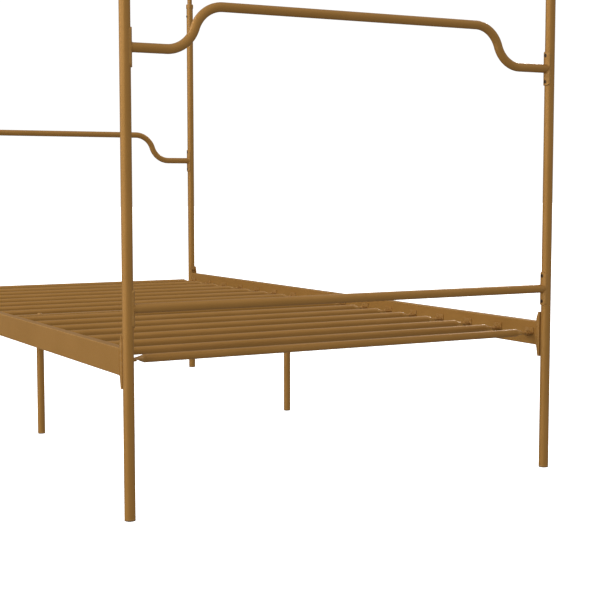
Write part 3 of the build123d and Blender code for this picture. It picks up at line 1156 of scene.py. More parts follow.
@dataclass
class Workshop:
    """The finishes, and the last step of every piece."""

    gold: bpy.types.Material
    screw: bpy.types.Material
    cap: bpy.types.Material

    @classmethod
    def opened(cls) -> Workshop:
        """Workshop with its three finishes mixed."""
        return cls(GoldPowderCoat().build(), DarkBronzeScrew().build(), BrownGlidePlastic().build())

    def finish(self, slot: Slot) -> bpy.types.Material:
        """Material for a slot of the record."""
        return {Slot.GOLD: self.gold, Slot.SCREW: self.screw, Slot.CAP: self.cap}[slot]

    def fit(self, piece: bpy.types.Object, slot: Slot, *nodes: str) -> None:
        """Dress a piece, hang it on the frame and let it stand for its nodes.

        Args:
            piece: The finished piece.
            slot: The record's material slot.
            *nodes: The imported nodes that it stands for.
        """
        if not piece.data.materials:
            piece.data.materials.append(self.finish(slot))
        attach(piece, BODY)
        if nodes:
            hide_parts(*nodes)
        LOG.info("%s: %d faces for %s", piece.name, len(piece.data.polygons), nodes or "detail")

    def fit_mesh(self, mesh: bpy.types.Mesh, slot: Slot, *nodes: str) -> None:
        """Fit a mesh that stands in its place as a piece of the same name."""
        self.fit(plain_object(mesh.name, mesh), slot, *nodes)

    def fit_rows(
        self,
        name: str,
        shape: bpy.types.Mesh,
        places: Sequence[tuple[Vector, Euler]],
        slot: Slot,
        *nodes: str,
    ) -> None:
        """Set a shape on many places and fit it as one piece.

        Args:
            name: The piece's name.
            shape: The shape, made round the origin with its head along +Z.
            places: Each place's point and how the shape is turned there.
            slot: The record's material slot.
            *nodes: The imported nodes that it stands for.
        """
        self.fit(PlacedRows.make(name, shape, places, self.finish(slot)), slot, *nodes)

    def dress(self, node: bpy.types.Object, slot: Slot) -> None:
        """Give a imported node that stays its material.

        Args:
            node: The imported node's object.
            slot: The record's material slot.
        """
        node.data.materials.clear()
        node.data.materials.append(self.finish(slot))
        LOG.info("%s: kept as packed", node.name)


@dataclass(frozen=True)
class PostPlan:
    """Where the posts stand and how high their parts reach."""

    half_x: float
    half_y: float
    lower_radius: float
    lower_top: float
    upper_radius: float
    collar_top: float
    collar_radius: float

    @classmethod
    def measured(cls) -> PostPlan:
        """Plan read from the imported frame."""
        lower = NodeBox.of("lower_post_foot_right")
        upper = NodeBox.of("upper_post_foot_right")
        collars = NodeBox.of("post_collars")
        return cls(
            half_x=lower.centre.x,
            half_y=lower.centre.y,
            lower_radius=lower.size.x / 2,
            lower_top=lower.high.z,
            upper_radius=upper.size.x / 2,
            collar_top=collars.high.z,
            collar_radius=collars.high.x - lower.centre.x,
        )

    def axis(self, side: Side, end: End, height: float = 0.0) -> Vector:
        """Point on one post's axis."""
        return Vector((self.half_x * side.value, self.half_y * end.value, height))

    def corners(self) -> list[tuple[Side, End]]:
        """The four posts."""
        return [(side, end) for end in End for side in Side]

    def places(self, height: float = 0.0) -> list[tuple[Vector, Euler]]:
        """An upright place on each post's axis, at one height."""
        return [(self.axis(side, end, height), upright()) for side, end in self.corners()]


@dataclass
class PostSet:
    """Lower and upper posts, their collars, locking screws and floor glides."""

    plan: PostPlan
    sides: int = 64
    collar_ease: float = 0.9 * MM
    collar_edge: tuple[tuple[float, float, float], ...] = (
        (1.0, 0.0, 0.4),
        (0.3, 0.3, 0.7),
        (0.0, 1.0, 0.7),
        (0.0, 2.5, 0.0),
    )
    joint_screw_height: float = 1224.0 * MM
    joint_screw: SocketScrew = SocketScrew(7.0 * MM, 1.8 * MM, 4.0 * MM, 3.0 * MM, 3.0 * MM)

    def build(self, shop: Workshop) -> None:
        """Make and fit every piece of the posts."""
        for side, end in self.plan.corners():
            self._post(shop, "lower", side, end, self.plan.lower_radius)
            self._post(shop, "upper", side, end, self.plan.upper_radius)
        self._collars(shop)
        self._glides(shop)
        self._joint_screws(shop)

    def _post(self, shop: Workshop, part: str, side: Side, end: End, radius: float) -> None:
        """One straight length of post.

        Args:
            shop: The workshop.
            part: "lower" or "upper".
            side: Which side of the bed.
            end: Which end of the bed.
            radius: Radius of the tube.
        """
        node = f"{part}_post_{end.label}_{side.label}"
        box = NodeBox.of(node)
        mesh = UprightTube(radius, box.low.z, box.high.z, self.sides).mesh(f"{node}_tube")
        mesh.transform(Matrix.Translation(self.plan.axis(side, end)))
        shop.fit_mesh(mesh, Slot.GOLD, node)

    def _collars(self, shop: Workshop) -> None:
        """Rings where the thick posts take the thin ones.

        Each step of the collar's edge says how far it lies in from the side and up from the end,
        as shares of the easing, and how much it is rubbed.
        """
        radius, height = self.plan.collar_radius, self.plan.collar_top - self.plan.lower_top
        ease = self.collar_ease
        low = [(self.plan.upper_radius, 0.0, 0.0)]
        low += [(radius - ease * inset, ease * rise, rub) for inset, rise, rub in self.collar_edge]
        high = [(ring_radius, height - z, rub) for ring_radius, z, rub in reversed(low)]
        shape = lathe(low + high, self.sides).mesh("collar_shape", SOFT_CRISP)
        places = self.plan.places(self.plan.lower_top)
        shop.fit_rows("post_collar_rings", shape, places, Slot.GOLD, "post_collars")

    def _glides(self, shop: Workshop) -> None:
        """Thin moulded caps under the four posts."""
        shape = FloorGlide(self.plan.lower_radius, self.sides).mesh("glide_shape")
        shop.fit_rows("post_glides", shape, self.plan.places(), Slot.CAP, "post_foot_caps")

    def _joint_screws(self, shop: Workshop) -> None:
        """Small screws that lock the upper posts, on the inner side of each post."""
        places = []
        for side, end in self.plan.corners():
            inward = Vector((-side.value, 0.0, 0.0))
            seat = self.plan.axis(side, end, self.joint_screw_height) + inward * self.plan.lower_radius
            places.append((seat, facing(inward)))
        shape = self.joint_screw.mesh("joint_screw")
        shop.fit_rows("joint_screws", shape, places, Slot.SCREW, "post_joint_screws")


@dataclass(frozen=True)
class RailRun:
    """One rail between two posts: its node, its end of the bed and its saddles' name."""

    node: str
    end: End
    saddle: str
    stepped: bool


@dataclass
class EndRails:
    """Stepped arches and the straight rail, with the saddles that join them to the posts."""

    plan: PostPlan
    runs: tuple[RailRun, ...] = (
        RailRun("head_arch_rail", End.HEAD, "head_arch_saddle", True),
        RailRun("foot_arch_rail", End.FOOT, "foot_arch_saddle", True),
        RailRun("head_lower_rail", End.HEAD, "head_lower_saddle", False),
    )
    bend_start: float = 85.0 * MM
    bend_end: float = 205.0 * MM
    bend_steps: int = 28
    tube_sides: int = 56
    bite: float = 0.8 * MM
    saddle_radius: float = 13.5 * MM
    saddle_corner: float = 7.0 * MM
    corner_steps: int = 7
    columns: int = 22
    plate_rub: float = 0.25
    plate_ease: float = 0.4 * MM
    ease_degrees: float = 35.0
    screw_offset: float = 29.0 * MM
    seat_radius: float = 12.4 * MM
    seat_width: float = 9.0 * MM
    seat_sides: int = 36
    cutter_share: float = 1.3
    weld_radius: float = 1.15 * MM
    weld_points: int = 96
    weld_ripple: float = 0.14
    weld_ripples: float = 24.0
    saddle_screw: SocketScrew = SocketScrew(8.5 * MM, 0.9 * MM, 5.8 * MM, 2.0 * MM, 4.0 * MM)

    def build(self, shop: Workshop) -> None:
        """Make and fit the rails, saddles, welds and saddle screws."""
        for run in self.runs:
            self._rail(shop, run)
            for side in Side:
                self._saddle(shop, run, side)
        self._welds(shop)
        self._screws(shop)

    def _ends(self, run: RailRun) -> tuple[float, float, float]:
        """Heights of a rail's ends and its middle, and its tube's radius."""
        box = NodeBox.of(run.node)
        radius = box.size.y / 2
        return box.low.z + radius, box.high.z - radius, radius

    def _path(self, run: RailRun) -> list[Vector]:
        """Centre line of a rail from left to right.

        Args:
            run: The rail.

        Returns:
            The points of the line.
        """
        end_height, top, _ = self._ends(run)
        y = self.plan.half_y * run.end.value
        start = self.plan.half_x - self.saddle_radius + self.bite
        if not run.stepped:
            return [Vector((-start, y, end_height)), Vector((start, y, end_height))]
        length = self.bend_end - self.bend_start
        rise = top - end_height
        turn = 2 * math.atan2(rise, length)
        radius = length / 2 / math.sin(turn)
        left = [(-start, end_height)]
        bend_x = -self.plan.half_x + self.bend_start
        for step in range(self.bend_steps + 1):
            angle = turn * step / self.bend_steps
            left.append((bend_x + radius * math.sin(angle), end_height + radius * (1 - math.cos(angle))))
        raised_x = bend_x + length
        for step in range(self.bend_steps - 1, -1, -1):
            angle = turn * step / self.bend_steps
            left.append((raised_x - radius * math.sin(angle), top - radius * (1 - math.cos(angle))))
        right = [(-x, z) for x, z in reversed(left)]
        return [Vector((x, y, z)) for x, z in left + right]

    def _rail(self, shop: Workshop, run: RailRun) -> None:
        """One bent or straight rail."""
        _, _, radius = self._ends(run)
        piece = PathTube.make(f"{run.node}_tube", [self._path(run)], radius, shop.gold, self.tube_sides)
        self._cope(piece, run)
        shop.fit(piece, Slot.GOLD, run.node)

    def _cope(self, piece: bpy.types.Object, run: RailRun) -> None:
        """Shape a rail's ends to the round of their saddles.

        Args:
            piece: The rail's tube, with flat ends.
            run: Which rail it is.
        """
        y = self.plan.half_y * run.end.value
        saddle_face = self.plan.half_x - self.saddle_radius
        for vertex in piece.data.vertices:
            if abs(vertex.co.x) > saddle_face:
                depth = math.sqrt(self.saddle_radius**2 - (vertex.co.y - y) ** 2)
                vertex.co.x = math.copysign(self.plan.half_x - depth + self.bite, vertex.co.x)

    def _saddle_rows(self, half_width: float, half_height: float) -> list[tuple[float, float]]:
        """Half width of a saddle at each height of its outline."""
        corner = self.saddle_corner
        upper = []
        for step in range(self.corner_steps + 1):
            swing = math.pi / 2 * step / self.corner_steps
            height = half_height - corner + corner * math.sin(swing)
            upper.append((height, half_width - corner + corner * math.cos(swing)))
        return [(-height, width) for height, width in reversed(upper)] + upper

    def _arc(self, radius: float, half_width: float, height: float) -> list[Vector]:
        """Level arc round a post's axis, facing +X, from one edge of a saddle to the other.

        Args:
            radius: Radius of the arc.
            half_width: Half the saddle's width there.
            height: Height of the arc.

        Returns:
            The arc's points.
        """
        points = []
        for i in range(self.columns + 1):
            y = (2.0 * i / self.columns - 1.0) * half_width
            points.append(Vector((math.sqrt(radius**2 - y**2), y, height)))
        return points

    def _saddle(self, shop: Workshop, run: RailRun, side: Side) -> None:
        """One plate wrapped round the inner side of a post, with two screw seats.

        Args:
            shop: The workshop.
            run: The rail that it carries.
            side: Which side of the bed.
        """
        node = f"{run.saddle}_{side.label}"
        box = NodeBox.of(node)
        rings = []
        for height, half_width in self._saddle_rows(box.size.y / 2, box.size.z / 2):
            outside = self._arc(self.saddle_radius, half_width, height)
            inside = self._arc(self.plan.lower_radius, half_width, height)
            rings.append((outside + inside[::-1], self.plate_rub))
        skin = Skin()
        skin.loft(rings)
        piece = plain_object(f"{node}_plate", skin.mesh(f"{node}_plate"))
        cutters = [self._seat_cutter(piece, sign * self.screw_offset) for sign in (-1, 1)]
        ease_edges(piece, self.plate_ease, self.ease_degrees)
        settle(piece)
        for cutter in cutters:
            bpy.data.objects.remove(cutter)
        half_turn = Matrix.Rotation(math.pi if side is Side.RIGHT else 0.0, 4, "Z")
        place = Matrix.Translation(self.plan.axis(side, run.end, box.centre.z))
        piece.data.transform(place @ half_turn)
        shop.fit(piece, Slot.GOLD, node)

    def _seat_cutter(self, piece: bpy.types.Object, height: float) -> bpy.types.Object:
        """Cut one round seat into a saddle that faces +X.

        Args:
            piece: The saddle.
            height: Height of the seat above the saddle's middle.

        Returns:
            The cutter, to be removed once the cut is settled.
        """
        skin = Skin()
        side, up = Vector((0, 1, 0)), Vector((0, 0, 1))
        rings = [
            (circle_ring(Vector((x, 0, height)), self.seat_width / 2, side, up, self.seat_sides), 0.0)
            for x in (self.seat_radius, self.saddle_radius * self.cutter_share)
        ]
        skin.loft(rings)
        cutter = plain_object(f"{piece.name}_seat", skin.mesh("seat_cutter"))
        cut = piece.modifiers.new("seat", "BOOLEAN")
        cut.operation = "DIFFERENCE"
        cut.solver = "EXACT"
        cut.object = cutter
        return cutter

    def _welds(self, shop: Workshop) -> None:
        """Beads where the rails meet their saddles."""
        paths = []
        for run in self.runs:
            end_height, _, radius = self._ends(run)
            for side in Side:
                paths.append(self._weld_path(run, side, end_height, radius))
        piece = PathTube.make(
            "saddle_weld_beads",
            paths,
            self.weld_radius,
            shop.gold,
            BEAD_SIDES,
            closed=True,
            ripple=self.weld_ripple,
            ripples=self.weld_ripples,
        )
        shop.fit(piece, Slot.GOLD)

    def _weld_path(self, run: RailRun, side: Side, height: float, radius: float) -> list[Vector]:
        """Line where one rail end meets its saddle.

        Args:
            run: The rail.
            side: Which side of the bed.
            height: Height of the rail's end.
            radius: Radius of the rail.

        Returns:
            The points of the closed line.
        """
        axis = self.plan.axis(side, run.end, height)
        path = []
        for i in range(self.weld_points):
            angle = math.tau * i / self.weld_points
            y, z = radius * math.cos(angle), radius * math.sin(angle)
            x = -side.value * math.sqrt(self.saddle_radius**2 - y * y)
            path.append(axis + Vector((x, y, z)))
        return path

    def _screws(self, shop: Workshop) -> None:
        """Dark flush screws seated in the saddles."""
        places = []
        for run in self.runs:
            for side in Side:
                centre = NodeBox.of(f"{run.saddle}_{side.label}").centre.z
                inward = Vector((-side.value, 0.0, 0.0))
                for sign in (-1, 1):
                    axis = self.plan.axis(side, run.end, centre + sign * self.screw_offset)
                    places.append((axis + inward * self.seat_radius, facing(inward)))
        shape = self.saddle_screw.mesh("saddle_screw")
        shop.fit_rows("saddle_screw_heads", shape, places, Slot.SCREW, "saddle_screws")


@dataclass
class SideRails:
    """Long rectangular rails with their end brackets, welds and bolts."""

    plan: PostPlan
    corner: float = 2.0 * MM
    corner_points: int = 7
    corner_rub: float = 0.45
    guard: float = 6.0 * MM
    flange_outline: tuple[tuple[float, float], ...] = (
        (5.5 * MM, -51.0 * MM),
        (10.5 * MM, -26.0 * MM),
        (10.5 * MM, 35.0 * MM),
        (4.5 * MM, 51.0 * MM),
    )
    sheet: float = 3.0 * MM
    bend: float = 2.0 * MM
    bend_steps: int = 5
    bracket_rub: float = 0.35
    bracket_ease: float = 0.4 * MM
    ease_degrees: float = 30.0
    bolt_offset: float = 41.0 * MM
    weld_radius: float = 1.0 * MM
    weld_lift: float = 0.3
    bolt: SocketScrew = SocketScrew(10.5 * MM, 3.3 * MM, 6.0 * MM, 2.5 * MM, 4.6 * MM)

    def build(self, shop: Workshop) -> None:
        """Make and fit the rails, brackets, welds and bolts."""
        for side in Side:
            self._rail(shop, side)
            for end in End:
                self._bracket(shop, side, end)
        self._welds(shop)
        self._bolts(shop)

    def _rail(self, shop: Workshop, side: Side) -> None:
        """One rectangular rail with round corners."""
        node = f"side_rail_{side.label}"
        box = NodeBox.of(node)
        outline = rounded_ring(box.size.x, box.size.z, self.corner, self.corner_points)
        count = self.corner_points + 2
        middle = (count - 1) / 2
        rub = [self.corner_rub * (1 - abs(i % count - middle) / middle) for i in range(len(outline))]
        rings = []
        for y in (box.low.y, box.low.y + self.guard, box.high.y - self.guard, box.high.y):
            rings.append(([Vector((box.centre.x + x, y, box.centre.z + z)) for x, z in outline], rub))
        skin = Skin()
        skin.loft(rings)
        shop.fit_mesh(skin.mesh(f"{node}_tube", SOFT_CRISP), Slot.GOLD, node)

    def _depth_at(self, height: float) -> float:
        """Depth of a bracket's flanges at a height above its middle."""
        for (depth, low), (next_depth, high) in zip(self.flange_outline, self.flange_outline[1:]):
            if height <= high:
                share = (height - low) / (high - low)
                return depth + (next_depth - depth) * share
        return self.flange_outline[-1][0]

    def _section(self, half_width: float, height: float) -> list[Vector]:
        """Level section of a bracket whose web lies on Y = 0 and whose flanges run to +Y.

        Args:
            half_width: Half the bracket's width.
            height: Height above the bracket's middle.

        Returns:
            The section's points.
        """
        depth = self._depth_at(height)
        inner = half_width - self.sheet
        right = [(inner, self.sheet), (inner, depth), (half_width, depth)]
        for step in range(self.bend_steps + 1):
            swing = math.pi / 2 * step / self.bend_steps
            x = half_width - self.bend + self.bend * math.cos(swing)
            right.append((x, self.bend - self.bend * math.sin(swing)))
        left = [(-x, y) for x, y in reversed(right)]
        return [Vector((x, y, height)) for x, y in right + left]

    def _bracket(self, shop: Workshop, side: Side, end: End) -> None:
        """One channel bracket between a rail and its post.

        Args:
            shop: The workshop.
            side: Which side of the bed.
            end: Which end of the bed.
        """
        node = f"side_bracket_{end.label}_{side.label}"
        box = NodeBox.of(node)
        skin = Skin()
        heights = [height for _, height in self.flange_outline]
        skin.loft([(self._section(box.size.x / 2, height), self.bracket_rub) for height in heights])
        piece = plain_object(f"{node}_steel", skin.mesh(f"{node}_steel"))
        ease_edges(piece, self.bracket_ease, self.ease_degrees)
        settle(piece)
        back = box.high.y if end is End.FOOT else box.low.y
        turn = Matrix.Rotation(math.pi if end is End.FOOT else 0.0, 4, "Z")
        piece.data.transform(Matrix.Translation(Vector((box.centre.x, back, box.centre.z))) @ turn)
        shop.fit(piece, Slot.GOLD, node)

    def _welds(self, shop: Workshop) -> None:
        """Flat beads where the rail ends meet their brackets."""
        paths = []
        for side in Side:
            box = NodeBox.of(f"side_rail_{side.label}")
            outline = rounded_ring(box.size.x, box.size.z, self.corner, self.corner_points)
            lift = self.weld_radius * self.weld_lift
            for y in (box.low.y + lift, box.high.y - lift):
                paths.append([Vector((box.centre.x + x, y, box.centre.z + z)) for x, z in outline])
        piece = PathTube.make(
            "side_rail_weld_beads", paths, self.weld_radius, shop.gold, BEAD_SIDES, closed=True
        )
        shop.fit(piece, Slot.GOLD)

    def _bolts(self, shop: Workshop) -> None:
        """Button-head bolts on the bed's side of each bracket's web."""
        places = []
        for side in Side:
            for end in End:
                box = NodeBox.of(f"side_bracket_{end.label}_{side.label}")
                inward = Vector((0.0, -end.value, 0.0))
                back = box.high.y if end is End.FOOT else box.low.y
                face = Vector((box.centre.x, back, box.centre.z)) + inward * self.sheet
                for sign in (-1, 1):
                    places.append((face + Vector((0, 0, sign * self.bolt_offset)), facing(inward)))
        shape = self.bolt.mesh("bracket_bolt")
        shop.fit_rows("bracket_bolts", shape, places, Slot.GOLD, "side_rail_bolts")


@dataclass
class SlatDeck:
    """Sixteen flat-ended slats on their clips, with screws and nuts."""

    slat_count: int = 16
    round_half: float = 458.0 * MM
    taper: float = 19.0 * MM
    tab_thickness: float = 2.5 * MM
    clip_thickness: float = 2.0 * MM
    clip_bend: float = 2.2 * MM
    clip_bend_steps: int = 6
    clip_ease: float = 0.35 * MM
    ease_degrees: float = 40.0
    clip_rub: float = 0.5
    clip_inset: float = 10.5 * MM
    nut: HexNut = HexNut(8.0 * MM, 4.0 * MM)
    screw: SocketScrew = SocketScrew(9.0 * MM, 2.6 * MM, 5.0 * MM, 10.9 * MM, 4.0 * MM)

    def build(self, shop: Workshop) -> None:
        """Make and fit the slats and what holds them."""
        self._slats(shop)
        for side in Side:
            self._clips(shop, side)
        self._screws(shop)
        self._nuts(shop)

    def _names(self) -> list[str]:
        """Nodes of the slats from head to foot."""
        return [f"slat_{number:02d}" for number in range(1, self.slat_count + 1)]

    def _slats(self, shop: Workshop) -> None:
        """All slats, one shape set on every row."""
        first = NodeBox.of("slat_01")
        shape = FlatEndedTube(
            half_length=first.size.x / 2,
            round_half=self.round_half,
            taper=self.taper,
            diameter=first.size.z,
            tab_width=first.size.y,
            tab_thickness=self.tab_thickness,
        )
        places = [(NodeBox.of(name).centre, upright()) for name in self._names()]
        shop.fit_rows("slats", shape.mesh("slat_shape"), places, Slot.GOLD, *self._names())

    def _seats(self) -> list[tuple[float, float]]:
        """Y of each clip and height of its shelf, the bar's clip last."""
        rows = []
        for name in self._names():
            centre = NodeBox.of(name).centre
            rows.append((centre.y, centre.z - self.tab_thickness / 2))
        bar = NodeBox.of("support_bar")
        rows.append((bar.centre.y, bar.low.z))
        return rows

    def _clip_shape(self, length: float, width: float, rise: float) -> bpy.types.Mesh:
        """L clip with a bent corner, its back against X = 0 and its shelf along +X.

        Args:
            length: Length of the shelf.
            width: Width along the rail.
            rise: Height of the upright leg above the shelf's top.

        Returns:
            The finished mesh.
        """
        thick, bend = self.clip_thickness, self.clip_bend
        outline = [(length, -thick), (length, 0.0), (thick, 0.0), (thick, rise), (0.0, rise)]
        for step in range(self.clip_bend_steps + 1):
            angle = math.pi + math.pi / 2 * step / self.clip_bend_steps
            outline.append((bend + bend * math.cos(angle), bend - thick + bend * math.sin(angle)))
        skin = Skin()
        edges = (-width / 2, width / 2)
        skin.loft([([Vector((x, y, z)) for x, z in outline], self.clip_rub) for y in edges])
        piece = plain_object("clip_shape", skin.mesh("clip_shape"))
        ease_edges(piece, self.clip_ease, self.ease_degrees)
        settle(piece)
        shape = piece.data
        bpy.data.objects.remove(piece)
        return shape

    def _clips(self, shop: Workshop, side: Side) -> None:
        """Clips along one side rail."""
        node = f"slat_clips_{side.label}"
        box = NodeBox.of(node)
        first_y = NodeBox.of("slat_01").centre.y
        width = 2 * (first_y - box.low.y)
        seats = self._seats()
        rise = box.high.z - seats[0][1]
        shape = self._clip_shape(box.size.x, width, rise)
        back = box.high.x if side is Side.RIGHT else box.low.x
        turn = Euler((0.0, 0.0, math.pi if side is Side.RIGHT else 0.0))
        places = [(Vector((back, y, z)), turn) for y, z in seats]
        shop.fit_rows(f"{node}_steel", shape, places, Slot.GOLD, node)

    def _fixing_x(self) -> float:
        """Distance of the clip screws from the middle of the bed."""
        return NodeBox.of("slat_clips_right").high.x - self.clip_inset

    def _screws(self, shop: Workshop) -> None:
        """Screws through the flattened slat ends."""
        places = []
        for name in self._names():
            centre = NodeBox.of(name).centre
            for side in Side:
                height = centre.z + self.tab_thickness / 2
                point = Vector((self._fixing_x() * side.value, centre.y, height))
                places.append((point, upright()))
        shape = self.screw.mesh("slat_screw")
        shop.fit_rows("slat_end_screws", shape, places, Slot.GOLD, "slat_screws")

    def _nuts(self, shop: Workshop) -> None:
        """A nut under every clip."""
        drop = self.clip_thickness + self.nut.height
        places = [
            (Vector((self._fixing_x() * side.value, y, z - drop)), upright())
            for y, z in self._seats()
            for side in Side
        ]
        shop.fit_rows("clip_nuts", self.nut.mesh("clip_nut"), places, Slot.GOLD, "slat_nuts")


@dataclass
class MiddleSupport:
    """Square bar under the middle of the deck, and its two legs."""

    wall: float = 1.5 * MM
    corner: float = 2.0 * MM
    corner_points: int = 6
    end_rub: float = 0.3
    leg_sides: int = 56
    leg_top_rub: float = 0.6
    leg_bolt: SocketScrew = SocketScrew(11.0 * MM, 3.0 * MM, 6.0 * MM, 3.0 * MM, 4.6 * MM)
    end_bolt: SocketScrew = SocketScrew(9.0 * MM, 2.6 * MM, 5.0 * MM, 28.5 * MM, 4.0 * MM)

    def build(self, shop: Workshop) -> None:
        """Make and fit the bar, the legs, their glides and bolts."""
        self._bar(shop)
        for side in Side:
            self._leg(shop, side)
        self._glides(shop)
        self._bolts(shop)

    def _bar(self, shop: Workshop) -> None:
        """The square bar, open at both ends."""
        box = NodeBox.of("support_bar")
        outside = rounded_ring(box.size.y, box.size.z, self.corner, self.corner_points)
        hole = box.size.z - 2 * self.wall
        inside = rounded_ring(hole, hole, self.corner - self.wall, self.corner_points)
        ends = (box.low.x, box.high.x)
        centre = box.centre
        outer = [[Vector((x, centre.y + y, centre.z + z)) for y, z in outside] for x in ends]
        inner = [[Vector((x, centre.y + y, centre.z + z)) for y, z in inside] for x in ends]
        skin = Skin()
        skin.hollow([(points, self.end_rub) for points in outer], inner)
        shop.fit_mesh(skin.mesh("support_bar_tube", SOFT_CRISP), Slot.GOLD, "support_bar")

    def _leg(self, shop: Workshop, side: Side) -> None:
        """One round leg."""
        node = f"support_leg_{side.label}"
        box = NodeBox.of(node)
        tube = UprightTube(
            box.size.x / 2, box.low.z, box.high.z, self.leg_sides, top_rub=self.leg_top_rub
        )
        mesh = tube.mesh(f"{node}_tube")
        mesh.transform(Matrix.Translation(Vector((box.centre.x, box.centre.y, 0.0))))
        shop.fit_mesh(mesh, Slot.GOLD, node)

    def _glides(self, shop: Workshop) -> None:
        """Thin moulded caps under the legs."""
        radius = NodeBox.of("support_leg_right").size.x / 2
        shape = FloorGlide(radius, self.leg_sides).mesh("leg_glide_shape")
        places = []
        for side in Side:
            centre = NodeBox.of(f"support_leg_{side.label}").centre
            places.append((Vector((centre.x, centre.y, 0.0)), upright()))
        shop.fit_rows("leg_glides", shape, places, Slot.CAP, "leg_foot_caps")

    def _bolts(self, shop: Workshop) -> None:
        """Bolts down through the bar, into the legs and through the end clips."""
        top = NodeBox.of("support_bar").high.z
        leg_places = []
        end_places = []
        fixing = NodeBox.of("slat_clips_right").high.x - SlatDeck.clip_inset
        for side in Side:
            centre = NodeBox.of(f"support_leg_{side.label}").centre
            leg_places.append((Vector((centre.x, centre.y, top)), upright()))
            end_places.append((Vector((fixing * side.value, centre.y, top)), upright()))
        shop.fit_rows("leg_bolts", self.leg_bolt.mesh("leg_bolt"), leg_places, Slot.GOLD, "bar_bolts")
        shop.fit_rows("bar_end_bolts", self.end_bolt.mesh("bar_end_bolt"), end_places, Slot.GOLD)


@dataclass
class CanopyFrame:
    """Four flat-ended rails stacked on studs at the post tops, under cap nuts."""

    plan: PostPlan
    taper_start: float = 14.0 * MM
    taper: float = 18.0 * MM
    tab_thickness: float = 2.4 * MM
    nut_flats: float = 13.0 * MM
    nut_hex_height: float = 6.5 * MM
    nut_corner: float = 0.8 * MM
    nut_sides: int = 36
    dome_radius: float = 5.8 * MM
    dome_tip: float = 0.3 * MM
    dome_rub: float = 0.3
    dome_steps: int = 9

    def build(self, shop: Workshop, nodes: dict[str, bpy.types.Object]) -> None:
        """Make and fit the rails and cap nuts.

        Args:
            shop: The workshop.
            nodes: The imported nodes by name.
        """
        for end in End:
            self._rail(shop, f"canopy_rail_{end.label}", along=False)
        for side in Side:
            self._rail(shop, f"canopy_rail_{side.label}", along=True)
        self._nuts(shop)
        shop.dress(nodes["canopy_plugs"], Slot.GOLD)

    def _rail(self, shop: Workshop, node: str, along: bool) -> None:
        """One canopy rail.

        Args:
            shop: The workshop.
            node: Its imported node.
            along: True along the bed, False across it.
        """
        box = NodeBox.of(node)
        length, width = (box.size.y, box.size.x) if along else (box.size.x, box.size.y)
        reach = (self.plan.half_y if along else self.plan.half_x) - self.taper_start - self.taper
        shape = FlatEndedTube(
            half_length=length / 2,
            round_half=reach,
            taper=self.taper,
            diameter=box.size.z,
            tab_width=width,
            tab_thickness=self.tab_thickness,
        )
        mesh = shape.mesh(f"{node}_tube")
        quarter = Matrix.Rotation(math.pi / 2 if along else 0.0, 4, "Z")
        mesh.transform(Matrix.Translation(box.centre) @ quarter)
        shop.fit_mesh(mesh, Slot.GOLD, node)

    def _nuts(self, shop: Workshop) -> None:
        """Domed cap nuts on the studs."""
        box = NodeBox.of("canopy_cap_nuts")
        height = box.size.z
        rings = nut_rings(self.nut_flats, self.nut_hex_height, self.nut_corner, self.nut_sides)
        rings.append((round_ring(self.dome_radius, self.nut_hex_height, self.nut_sides), 0.0))
        dome_base = height - self.dome_radius
        for step in range(self.dome_steps):
            swing = math.pi / 2 * step / self.dome_steps
            radius = self.dome_radius * math.cos(swing)
            level = dome_base + self.dome_radius * math.sin(swing)
            rings.append((round_ring(radius, level, self.nut_sides), self.dome_rub))
        rings.append((round_ring(self.dome_tip, height, self.nut_sides), self.dome_rub))
        skin = Skin()
        skin.loft(rings)
        shape = skin.mesh("cap_nut_shape", NUT_CRISP)
        places = self.plan.places(box.low.z)
        shop.fit_rows("canopy_dome_nuts", shape, places, Slot.GOLD, "canopy_cap_nuts")


@dataclass(frozen=True)
class Softbox:
    """Rectangular soft light, placed by the direction that it shines from."""

    name: str
    heading_degrees: float
    height_degrees: float
    distance: float
    width: float
    height: float
    watts: float

    def hang(self, aim: Vector) -> None:
        """Hang the light and turn it towards a point.

        Args:
            aim: The point that it lights.
        """
        heading, height = math.radians(self.heading_degrees), math.radians(self.height_degrees)
        level = math.cos(height)
        away = Vector((level * math.cos(heading), level * math.sin(heading), math.sin(height)))
        light = bpy.data.lights.new(self.name, "AREA")
        light.shape = "RECTANGLE"
        light.size, light.size_y = self.width, self.height
        light.energy = self.watts
        lamp = bpy.data.objects.new(self.name, light)
        lamp.location = aim + away * self.distance
        lamp.rotation_euler = away.to_track_quat("Z", "Y").to_euler()
        bpy.context.scene.collection.objects.link(lamp)


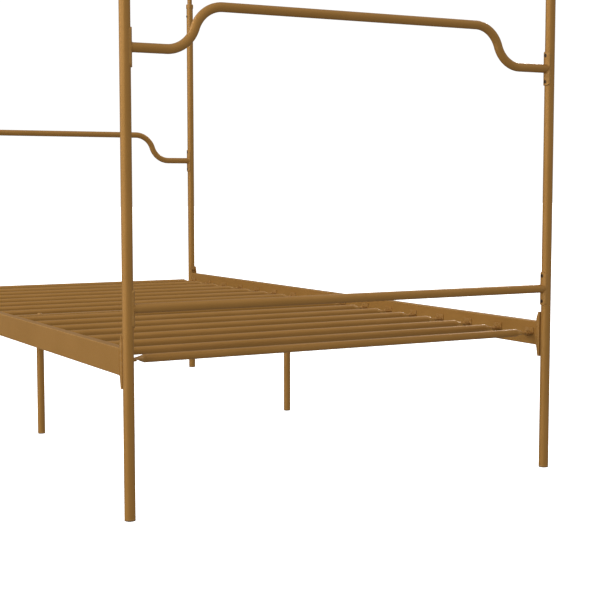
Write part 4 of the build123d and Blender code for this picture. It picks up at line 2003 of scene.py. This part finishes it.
@dataclass
class Studio:
    """White floor, soft lights and the camera."""

    floor_half: float = 30.0
    aim: tuple[float, float, float] = (0.0, 0.0, 0.5)
    camera_at: tuple[float, float, float] = (-1.4759, -3.3648, 0.6533)
    camera_turn_degrees: float = 29.238
    camera_tilt_degrees: float = 4.998
    lens_mm: float = 81.0
    sensor_mm: float = 36.0
    light_below: float = 0.4
    light_level: float = 0.42
    light_above: float = 1.0
    light_from_foot: float = 0.36
    foot_span: tuple[float, float] = (-0.2, 0.9)
    backdrop: float = 1.05
    lights: tuple[Softbox, ...] = (
        Softbox("key_softbox", 160.0, 34.0, 5.5, 4.4, 3.9, 146.0),
        Softbox("wall_softbox", -178.0, 6.0, 3.7, 5.6, 2.7, 52.0),
        Softbox("strip_softbox", -138.0, 16.0, 5.5, 0.9, 0.5, 34.0),
        Softbox("back_softbox", 36.0, 28.0, 9.0, 0.8, 0.8, 120.0),
    )

    def build(self) -> None:
        """Set up everything round the bed."""
        self._floor()
        self._world()
        for light in self.lights:
            light.hang(Vector(self.aim))
        self._camera()

    def _floor(self) -> None:
        """Wide white floor that throws no light back on the bed."""
        half = self.floor_half
        mesh = bpy.data.meshes.new("studio_floor")
        corners = [(-half, -half, 0.0), (half, -half, 0.0), (half, half, 0.0), (-half, half, 0.0)]
        mesh.from_pydata(corners, [], [(0, 1, 2, 3)])
        mesh.materials.append(StudioWhite().build())
        floor = plain_object("studio_floor", mesh)
        floor.visible_diffuse = False
        floor.visible_glossy = False

    def _world(self) -> None:
        """Soft light that grows from below to above and dims towards the foot, on a white backdrop."""
        world = bpy.data.worlds.new("studio_surround")
        world.use_nodes = True
        tree = world.node_tree
        soft = tree.nodes["Background"]
        direction = tree.nodes.new("ShaderNodeTexCoord")
        split = tree.nodes.new("ShaderNodeSeparateXYZ")
        tree.links.new(direction.outputs["Generated"], split.inputs["Vector"])
        height = split.outputs["Z"]
        below = stretch(tree, height, (-1.0, 0.0), (self.light_below, self.light_level))
        above = stretch(tree, height, FULL, (0.0, self.light_above - self.light_level))
        foot = stretch(tree, split.outputs["Y"], self.foot_span, (1.0, self.light_from_foot))
        strength = combine(tree, "MULTIPLY", combine(tree, "ADD", below, above), foot)
        tree.links.new(strength, soft.inputs["Strength"])
        soft.inputs["Color"].default_value = (1.0, 1.0, 1.0, 1.0)
        white = tree.nodes.new("ShaderNodeBackground")
        white.inputs["Color"].default_value = (1.0, 1.0, 1.0, 1.0)
        white.inputs["Strength"].default_value = self.backdrop
        seen = tree.nodes.new("ShaderNodeLightPath")
        mix = tree.nodes.new("ShaderNodeMixShader")
        tree.links.new(seen.outputs["Is Camera Ray"], mix.inputs["Fac"])
        tree.links.new(soft.outputs["Background"], mix.inputs[1])
        tree.links.new(white.outputs["Background"], mix.inputs[2])
        tree.links.new(mix.outputs["Shader"], tree.nodes["World Output"].inputs["Surface"])
        bpy.context.scene.world = world
        bpy.context.scene.view_settings.view_transform = "Standard"

    def _camera(self) -> None:
        """Camera low on the left of the head end."""
        lens = bpy.data.cameras.new("studio_camera")
        lens.sensor_width = self.sensor_mm
        lens.lens = self.lens_mm
        camera = bpy.data.objects.new("studio_camera", lens)
        camera.location = self.camera_at
        tilt = math.radians(90.0 - self.camera_tilt_degrees)
        camera.rotation_euler = (tilt, 0.0, math.radians(-self.camera_turn_degrees))
        bpy.context.scene.collection.objects.link(camera)
        bpy.context.scene.camera = camera


def main() -> None:
    """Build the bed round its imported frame, then the studio round the bed."""
    logging.basicConfig(level=logging.INFO, format="%(name)s %(message)s")
    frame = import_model()
    shop = Workshop.opened()
    plan = PostPlan.measured()
    PostSet(plan).build(shop)
    EndRails(plan).build(shop)
    SideRails(plan).build(shop)
    SlatDeck().build(shop)
    MiddleSupport().build(shop)
    CanopyFrame(plan).build(shop, frame["nodes"])
    Studio().build()


if __name__ == "__main__":
    main()
